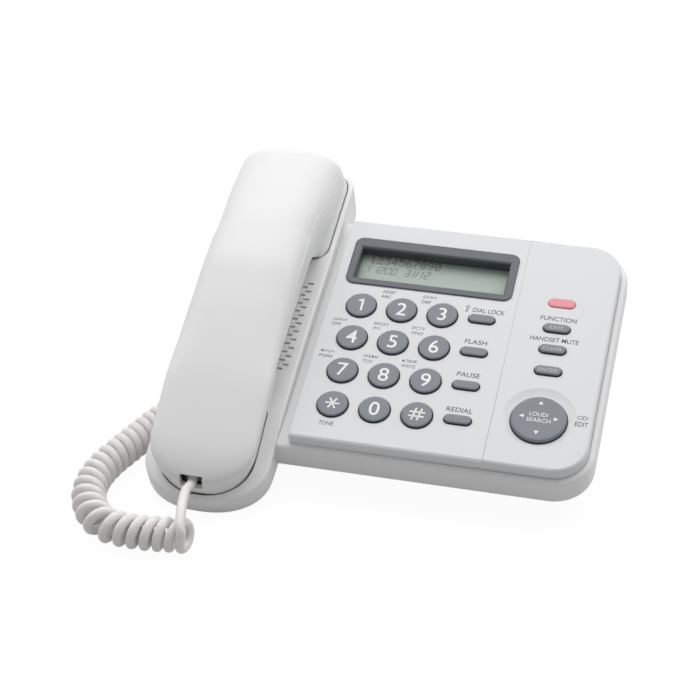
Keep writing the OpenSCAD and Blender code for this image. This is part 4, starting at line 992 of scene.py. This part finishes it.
def digit_mark(name, at):
    """The printed sign of a dial key."""
    h, low = sizes().digit_h / MM, KEY_PRINT
    if name == "star":
        arms = circle(3.2, n=6)
        return strokes(list(zip(arms[:3], arms[3:])), 0.75, at, low)
    if name == "hash":
        return strokes([((-3.4, 1.15), (3.6, 1.15)), ((-3.6, -1.15), (3.4, -1.15)),
                        ((-0.6, 3.3), (-1.9, -3.3)), ((1.9, 3.3), (0.6, -3.3))], 0.8, at, low)
    if name == "1":
        return strokes([((0.55, h / 2), (0.55, -h / 2)), ((-1.35, h / 2 - 1.7), (0.75, h / 2 - 0.3))],
                       0.98, at, low)
    return words(name, at, (0, h), low, weight=0.004)


def build_dial_keys():
    foot = KEY_R - KEY_STEM_R
    rings = [(foot, STEM_Z), (foot, FLANGE_Z), (-KEY_FLANGE, FLANGE_Z), (-KEY_FLANGE, FLANGE_TOP)]
    for i, name in enumerate(DIAL):
        at = ((i % 3 - 1) * PITCH_X, -(i // 3) * PITCH_Y)
        cap = stack("cap", lambda inset: circle(KEY_R - inset, at), rings + KEY_TOP_RINGS)
        key("key_" + name, "cap_" + name, [(cap, 0), (digit_mark(name, at), 1)], KEY_SHADE_TOP, "pale_ink")


def build_side_keys():
    for name, x, y, legend in PILLS:
        pill = stack("pill", lambda inset: stadium(*(v - inset for v in PILL_HALF), (x, y)),
                     [(-1.0, FLANGE_Z), (-1.0, FLANGE_TOP), *KEY_TOP_RINGS])
        parts = [(pill, 0), (rod(PILL_STEM_R, (x, y), STEM_Z, FLANGE_Z + 0.4), 0)]
        if legend:
            size = (8.6 if len(legend) > 4 else 6.5, 1.9)
            parts.append((words(legend, (x, y - 0.1), size, KEY_PRINT), 1))
        key("key_" + name, "pill_" + name, parts, KEY_SHADE_TOP, "key_legend")


NAV, NAV_R, NAV_FLANGE_R, NAV_PRINT = (71.8, -51.4), 12.3, 13.6, 18.63
NAV_RINGS = [(0, 14.5), (0, FLANGE_TOP), (0, 17.6), (0.1, 18.0), (0.3, 18.35), (0.62, 18.58), (1.0, 18.7),
             (1.5, 18.74), (3.5, 18.66), (6, 18.6), (9, 18.6), (11.8, 18.6)]
# Middle of each arrow, the way it points, and their radius
ARROWS = (((71.5, -42.9), 90), ((71.8, -58.8), 270), ((64.4, -50.9), 180), ((79.0, -50.7), 0))
ARROW_R = 1.25


def build_pad():
    cap = stack("cap", lambda inset: circle(NAV_R - inset, NAV, 96), NAV_RINGS)
    flange = stack("flange", lambda inset: circle(NAV_FLANGE_R, NAV, 64), [(0, 13.9), (0, 14.5)])
    parts = [(cap, 0), (flange, 0)]
    for (x, y), way in ARROWS:
        tip = [(x + ARROW_R * math.cos(a), y + ARROW_R * math.sin(a))
               for a in np.radians([way, way + 125, way + 235])]
        parts.append((stack("arrow", lambda inset: tip, [(0, 18.5), (0, 18.68)]), 1))
    parts.append((words("LOUD/", (71.6, -49.1), (8.4, 2.1), NAV_PRINT), 1))
    parts.append((words("SEARCH", (71.8, -52.3), (10.6, 2.1), NAV_PRINT), 1))
    parts += [(block((3.6, 1.6, 3.6), (NAV[0], NAV[1] + 4.4 * s, 10.5)), 0) for s in (-1, 1)]
    key("nav_pad", "four_way_pad", parts, PAD_SHADE_TOP, "pale_ink")


LAMP, LAMP_HALF = (71.5, 15.5), (6.15, 2.5)
LAMP_RINGS = [(0, 15.5), (0, 17.75), (0.08, 17.95), (0.28, 18.12), (0.6, 18.2), (1.2, 18.22)]


def build_lamp():
    def outline(inset):
        return stadium(*(v - inset for v in LAMP_HALF), LAMP)

    parts = [(stack("lens", outline, LAMP_RINGS), 0), (stack("foot", outline, [(-1, 14.5), (-1, 15.5)]), 0)]
    finished("lamp_window", joined("lamp", parts), "lamp_plastic", "base", ["ring_lamp"], smooth=38)


# ---- display contents ----

# Rows of a five by seven dot character, each row a number of five bits
DOTS = {"0": (14, 17, 19, 21, 25, 17, 14), "1": (4, 12, 4, 4, 4, 4, 14), "2": (14, 17, 1, 2, 4, 8, 31),
        "3": (31, 2, 4, 2, 1, 17, 14), "4": (2, 6, 10, 18, 31, 2, 2), "5": (31, 16, 30, 1, 1, 17, 14),
        "6": (6, 8, 16, 30, 17, 17, 14), "7": (31, 1, 2, 4, 8, 8, 8), "8": (14, 17, 17, 14, 17, 17, 14),
        "9": (14, 17, 17, 15, 1, 2, 12)}
# Bars of a seven-segment character: top, right pair, bottom, left pair, middle
BARS = {"0": "tabdlk", "1": "ab", "2": "tamkd", "3": "tambd"}


def dot_tree():
    """Node tree that puts a square dot on every point."""
    tree, take = open_tree("dots on points", Dot="Vector", Slope="Float")
    cube = node(tree, "GeometryNodeMeshCube", {"Size": take["Dot"]})
    turn = node(tree, "ShaderNodeCombineXYZ", {"X": take["Slope"]})
    dots = node(tree, "GeometryNodeInstanceOnPoints", {
        "Points": take["Geometry"], "Instance": cube.outputs[0], "Rotation": turn.outputs[0]})
    return close_tree(tree, take, dots.outputs[0])


def key_sign(centre, z, size=1.0):
    """A small key, its ring above its shank."""
    ring = [(0.72 * math.sin(a), 1.05 + 0.72 * math.cos(a)) for a in np.linspace(0, math.tau, 9)]
    lines = [*zip(ring, ring[1:]), ((0, 0.35), (0, -1.8)), ((-0.75, -1.65), (0, -1.65)),
             ((-0.6, -0.95), (0, -0.95))]
    return strokes([tuple((size * x, size * y) for x, y in line) for line in lines], 0.34, centre, z)


# First dot, steps between characters, and between a character's columns and rows
DOT_AT, DOT_NEXT, DOT_X, DOT_Y, DOT_SIZE = (-22.2, 35.6), 3.46, 0.56, 0.68, (0.6, 0.7, 0.02)
# Ends of each bar in half widths across and up, the clock's bars and where its characters start
BAR_ENDS = {"t": ((0, 4), (2, 4)), "m": ((0, 2), (2, 2)), "d": ((0, 0), (2, 0)), "a": ((2, 2), (2, 4)),
            "b": ((2, 0), (2, 2)), "l": ((0, 2), (0, 4)), "k": ((0, 0), (0, 2))}
BAR_LEAN, BAR_UP, BAR_W, CLOCK_Y = 0.16, 0.98, 0.62, 25.65
CLOCK = (("1", -20.2), ("2", -17.0), ("0", -14.0), ("0", -10.9), ("3", -4.7), ("1", -2.7), ("1", 1.3),
         ("2", 4.7))
STROKES = [((0.5, 25.7), (1.9, 29.4)), ((-14.45, 26.6), (-14.4, 27.0)), ((-14.25, 28.2), (-14.2, 28.6))]


def build_characters():
    points = [(DOT_AT[0] + DOT_NEXT * i + DOT_X * col, DOT_AT[1] - DOT_Y * row, LCD_PRINT)
              for i, ch in enumerate("1234567890") for row, bits in enumerate(DOTS[ch])
              for col in range(5) if bits >> (4 - col) & 1]
    mesh = grown("dots", mesh_from("points", points, []), dot_tree(), Dot=[v * MM for v in DOT_SIZE],
                 Slope=TILT, Material=MATERIALS["lcd_segment"])
    finished("display_digits", mesh, "lcd_glass", "base", materials=["lcd_segment"])
    lines = [tuple((x + p + BAR_LEAN * q, CLOCK_Y + BAR_UP * q) for p, q in BAR_ENDS[bar])
             for ch, x in CLOCK for bar in BARS[ch]]
    parts = [(strokes(lines + STROKES, BAR_W, (0, 0), LCD_PRINT), 0),
             (key_sign((-21.6, 27.9), LCD_PRINT, 1.1), 0)]
    finished("display_clock", joined("clock", parts), "lcd_glass", "base", materials=["lcd_segment"])


# ---- lettering ----

# Words, their middle, width and height, slant and weight
GROUP, LEGEND, SMALL = (1.75, 0.1, 0), (2.5, 0.08, 0.004), (2.1, 0.08, 0)
PRINTED = [
    ("АБВГ", -7.8, 10.2, 6.4, GROUP), ("ABC", -8.8, 7.3, 4.6, GROUP),
    ("ДЕЖЗ", 11.1, 9.8, 6.4, GROUP), ("DEF", 10.2, 6.9, 4.4, GROUP),
    ("ИЙКЛ", -26.8, -9.2, 6.4, GROUP), ("GHI", -28.1, -12.0, 4.2, GROUP),
    ("МНОП", -7.6, -9.2, 6.6, GROUP), ("JKL", -9.1, -12.0, 3.8, GROUP),
    ("РСТУ", 9.9, -9.1, 6.0, GROUP), ("MNO", 9.9, -12.0, 5.4, GROUP),
    ("ФХЦЧ", -28.3, -28.5, 6.4, GROUP), ("PQRS", -28.5, -31.4, 6.2, GROUP),
    ("ШЩЪЫ", -8.1, -28.5, 6.8, GROUP), ("TUV", -9.0, -31.4, 4.6, GROUP),
    ("ЬЭЮЯ", 9.6, -28.4, 6.4, GROUP), ("WXYZ", 9.7, -31.3, 6.6, GROUP),
    ("DIAL LOCK", 39.4, 5.8, 14.6, LEGEND), ("FLASH", 37.0, -12.9, 10.2, LEGEND),
    ("PAUSE", 37.1, -31.9, 10.4, LEGEND), ("REDIAL", 36.9, -51.8, 11.6, LEGEND),
    ("FUNCTION", 71.5, 6.2, 16.6, LEGEND), ("HANDSET MUTE", 71.4, -6.1, 22.0, LEGEND),
    ("EDIT", 90.4, -50.9, 5.8, LEGEND), ("TONE", -19.5, -68.3, 6.6, SMALL),
    ("CID/", 90.6, -47.4, 5.0, SMALL)]


def build_lettering():
    parts = [(words(text, (x, y), (wide, tall), PANEL_PRINT, slant, weight), 0)
             for text, x, y, wide, (tall, slant, weight) in PRINTED]
    parts.append((key_sign((29.6, 6.1), PANEL_PRINT), 0))
    finished("panel_words", joined("words", parts), "white_abs", "base", materials=["dark_ink"])


# ---- fasteners ----

CROSS_L, CROSS_W = 1.3, 0.28        # the cross's length and width, in head radii


def screw_tree():
    """Node tree that puts a cross-head screw on every point, its head below."""
    tree, take = open_tree("screws on points", Head_Radius="Float", Head_Height="Float",
                           Shank_Radius="Float", Shank_Length="Float", Slope="Float")

    def times(a, b):
        return node(tree, "ShaderNodeMath", {0: a, 1: b}, operation="MULTIPLY").outputs[0]

    def moved(geometry, z):
        place = node(tree, "ShaderNodeCombineXYZ", {"Z": z}).outputs[0]
        return node(tree, "GeometryNodeTransform", {"Geometry": geometry, "Translation": place}).outputs[0]

    head = node(tree, "GeometryNodeMeshCylinder", {
        "Vertices": 24, "Radius": take["Head Radius"], "Depth": take["Head Height"]}).outputs["Mesh"]
    head = moved(head, times(take["Head Height"], 0.5))
    for a, b in ((CROSS_L, CROSS_W), (CROSS_W, CROSS_L)):
        size = node(tree, "ShaderNodeCombineXYZ", {
            "X": times(take["Head Radius"], a), "Y": times(take["Head Radius"], b),
            "Z": take["Head Height"]}).outputs[0]
        slot = node(tree, "GeometryNodeMeshCube", {"Size": size}).outputs[0]
        cutting = node(tree, "GeometryNodeMeshBoolean", {"Mesh 1": head},
                       operation="DIFFERENCE", solver="EXACT")
        tree.links.new(slot, cutting.inputs["Mesh 2"])
        head = cutting.outputs["Mesh"]
    shank = node(tree, "GeometryNodeMeshCylinder", {
        "Vertices": 16, "Radius": take["Shank Radius"], "Depth": take["Shank Length"]}).outputs["Mesh"]
    centre = node(tree, "ShaderNodeMath", {
        0: take["Head Height"], 1: times(take["Shank Length"], 0.5)}).outputs[0]
    both = node(tree, "GeometryNodeJoinGeometry")
    tree.links.new(moved(shank, centre), both.inputs[0])
    tree.links.new(head, both.inputs[0])
    turn = node(tree, "ShaderNodeCombineXYZ", {"X": take["Slope"]})
    set_out = node(tree, "GeometryNodeInstanceOnPoints", {
        "Points": take["Geometry"], "Instance": both.outputs[0], "Rotation": turn.outputs[0]})
    return close_tree(tree, take, set_out.outputs[0])


HS_SCREWS_Y = (-76, 73)
# Node, body, level of the head, radius and height of head, radius and length of shank, places
SCREWS = [("board_screws", "base", 6.5, 2.4, 1.5, 1.05, 5.1,
           [(-28.6, -70.5), (46, -70.5), (-28.6, 9), (46, 8.4), (57, -70.5), (57, 46), (86, 20)]),
          ("base_screws", "base", 0.0, 2.8, 1.8, 1.15, 6.0,
           [(CRADLE_X, -45), (CRADLE_X, 16.5), (86.1, -66.7), (86.1, 41.7)]),
          ("handset_screws", "handset", 5.5, 2.5, 1.4, 1.2, 8.0, [(CRADLE_X, y) for y in HS_SCREWS_Y])]


def build_fasteners():
    tree = screw_tree()
    for name, body, z, head_r, head_h, shank_r, shank_l, places in SCREWS:
        cloud = mesh_from("points", [(x, y, z) for x, y in places], [])
        mesh = grown(name, cloud, tree, Head_Radius=head_r * MM, Head_Height=head_h * MM,
                     Shank_Radius=shank_r * MM, Shank_Length=shank_l * MM, Slope=TILT,
                     Material=MATERIALS["screw_steel"])
        finished(name + "_set", mesh, "screw_steel", body, [name])


def dress_frame():
    """Gives every CAD node its slot's finish."""
    for part in frame["record"]["subparts"]:
        data = frame["nodes"][part["node"]].data
        if not data.materials:
            data.materials.append(None)
        for i in range(len(data.materials)):
            data.materials[i] = MATERIALS[part["material_slot"]]


# ---- add-on ----

class PHONE_OT_finishes(bpy.types.Operator):
    """Makes the procedural finishes and gives each frame part its own"""
    bl_idname = "phone.finishes"
    bl_label = "Make finishes"

    def execute(self, context):
        make_finishes()
        dress_frame()
        return {"FINISHED"}


class PHONE_OT_stage(bpy.types.Operator):
    """Sets the camera, the floor and the lamps"""
    bl_idname = "phone.stage"
    bl_label = "Set the stage"

    def execute(self, context):
        build_stage()
        return {"FINISHED"}


class PHONE_OT_cord(bpy.types.Operator):
    """Lays the curly cord from the handset to the base"""
    bl_idname = "phone.cord"
    bl_label = "Curly cord"

    def execute(self, context):
        build_cord()
        return {"FINISHED"}


class PHONE_OT_handset(bpy.types.Operator):
    """Builds the two shells of the handset"""
    bl_idname = "phone.handset"
    bl_label = "Handset"

    def execute(self, context):
        build_handset()
        return {"FINISHED"}


class PHONE_OT_case(bpy.types.Operator):
    """Builds the case, the cradle and the battery cover with rounded edges"""
    bl_idname = "phone.case"
    bl_label = "Case"

    def execute(self, context):
        build_case()
        return {"FINISHED"}


class PHONE_OT_panels(bpy.types.Operator):
    """Builds the key panels with rounded edges and the hollow round the pad"""
    bl_idname = "phone.panels"
    bl_label = "Key panels"

    def execute(self, context):
        build_panels()
        return {"FINISHED"}


class PHONE_OT_display(bpy.types.Operator):
    """Builds the display's frame and its characters"""
    bl_idname = "phone.display"
    bl_label = "Display"

    def execute(self, context):
        build_display()
        build_characters()
        return {"FINISHED"}


class PHONE_OT_dial_keys(bpy.types.Operator):
    """Builds the twelve round keys with their digits"""
    bl_idname = "phone.dial_keys"
    bl_label = "Dial keys"

    def execute(self, context):
        build_dial_keys()
        return {"FINISHED"}


class PHONE_OT_side_keys(bpy.types.Operator):
    """Builds the seven long keys"""
    bl_idname = "phone.side_keys"
    bl_label = "Long keys"

    def execute(self, context):
        build_side_keys()
        return {"FINISHED"}


class PHONE_OT_pad(bpy.types.Operator):
    """Builds the four-way pad"""
    bl_idname = "phone.pad"
    bl_label = "Four-way pad"

    def execute(self, context):
        build_pad()
        return {"FINISHED"}


class PHONE_OT_lamp(bpy.types.Operator):
    """Builds the ring lamp's window"""
    bl_idname = "phone.lamp"
    bl_label = "Ring lamp"

    def execute(self, context):
        build_lamp()
        return {"FINISHED"}


class PHONE_OT_lettering(bpy.types.Operator):
    """Prints the words on the panels"""
    bl_idname = "phone.lettering"
    bl_label = "Lettering"

    def execute(self, context):
        build_lettering()
        return {"FINISHED"}


class PHONE_OT_fasteners(bpy.types.Operator):
    """Sets the screws"""
    bl_idname = "phone.fasteners"
    bl_label = "Screws"

    def execute(self, context):
        build_fasteners()
        return {"FINISHED"}


OPERATORS = (PHONE_OT_finishes, PHONE_OT_stage, PHONE_OT_cord, PHONE_OT_handset, PHONE_OT_case,
             PHONE_OT_panels, PHONE_OT_display, PHONE_OT_dial_keys, PHONE_OT_side_keys, PHONE_OT_pad,
             PHONE_OT_lamp, PHONE_OT_lettering, PHONE_OT_fasteners)


class PHONE_PT_panel(bpy.types.Panel):
    """Lists what builds the telephone"""
    bl_label = "Corded telephone"
    bl_space_type = "VIEW_3D"
    bl_region_type = "UI"
    bl_category = "Telephone"

    def draw(self, context):
        for group in (context.scene.phone_sizes, context.scene.phone_colours):
            for key in group.__annotations__:
                self.layout.prop(group, key)
        for cls in OPERATORS:
            self.layout.operator(cls.bl_idname)


CLASSES = (PhoneSizes, PhoneColours, *OPERATORS, PHONE_PT_panel)


def register():
    for cls in CLASSES:
        bpy.utils.register_class(cls)
    bpy.types.Scene.phone_sizes = PointerProperty(type=PhoneSizes)
    bpy.types.Scene.phone_colours = PointerProperty(type=PhoneColours)


def unregister():
    del bpy.types.Scene.phone_colours
    del bpy.types.Scene.phone_sizes
    for cls in reversed(CLASSES):
        bpy.utils.unregister_class(cls)


def main():
    register()
    for cls in OPERATORS:
        group, name = cls.bl_idname.split(".")
        getattr(getattr(bpy.ops, group), name)()


if __name__ == "__main__":
    main()
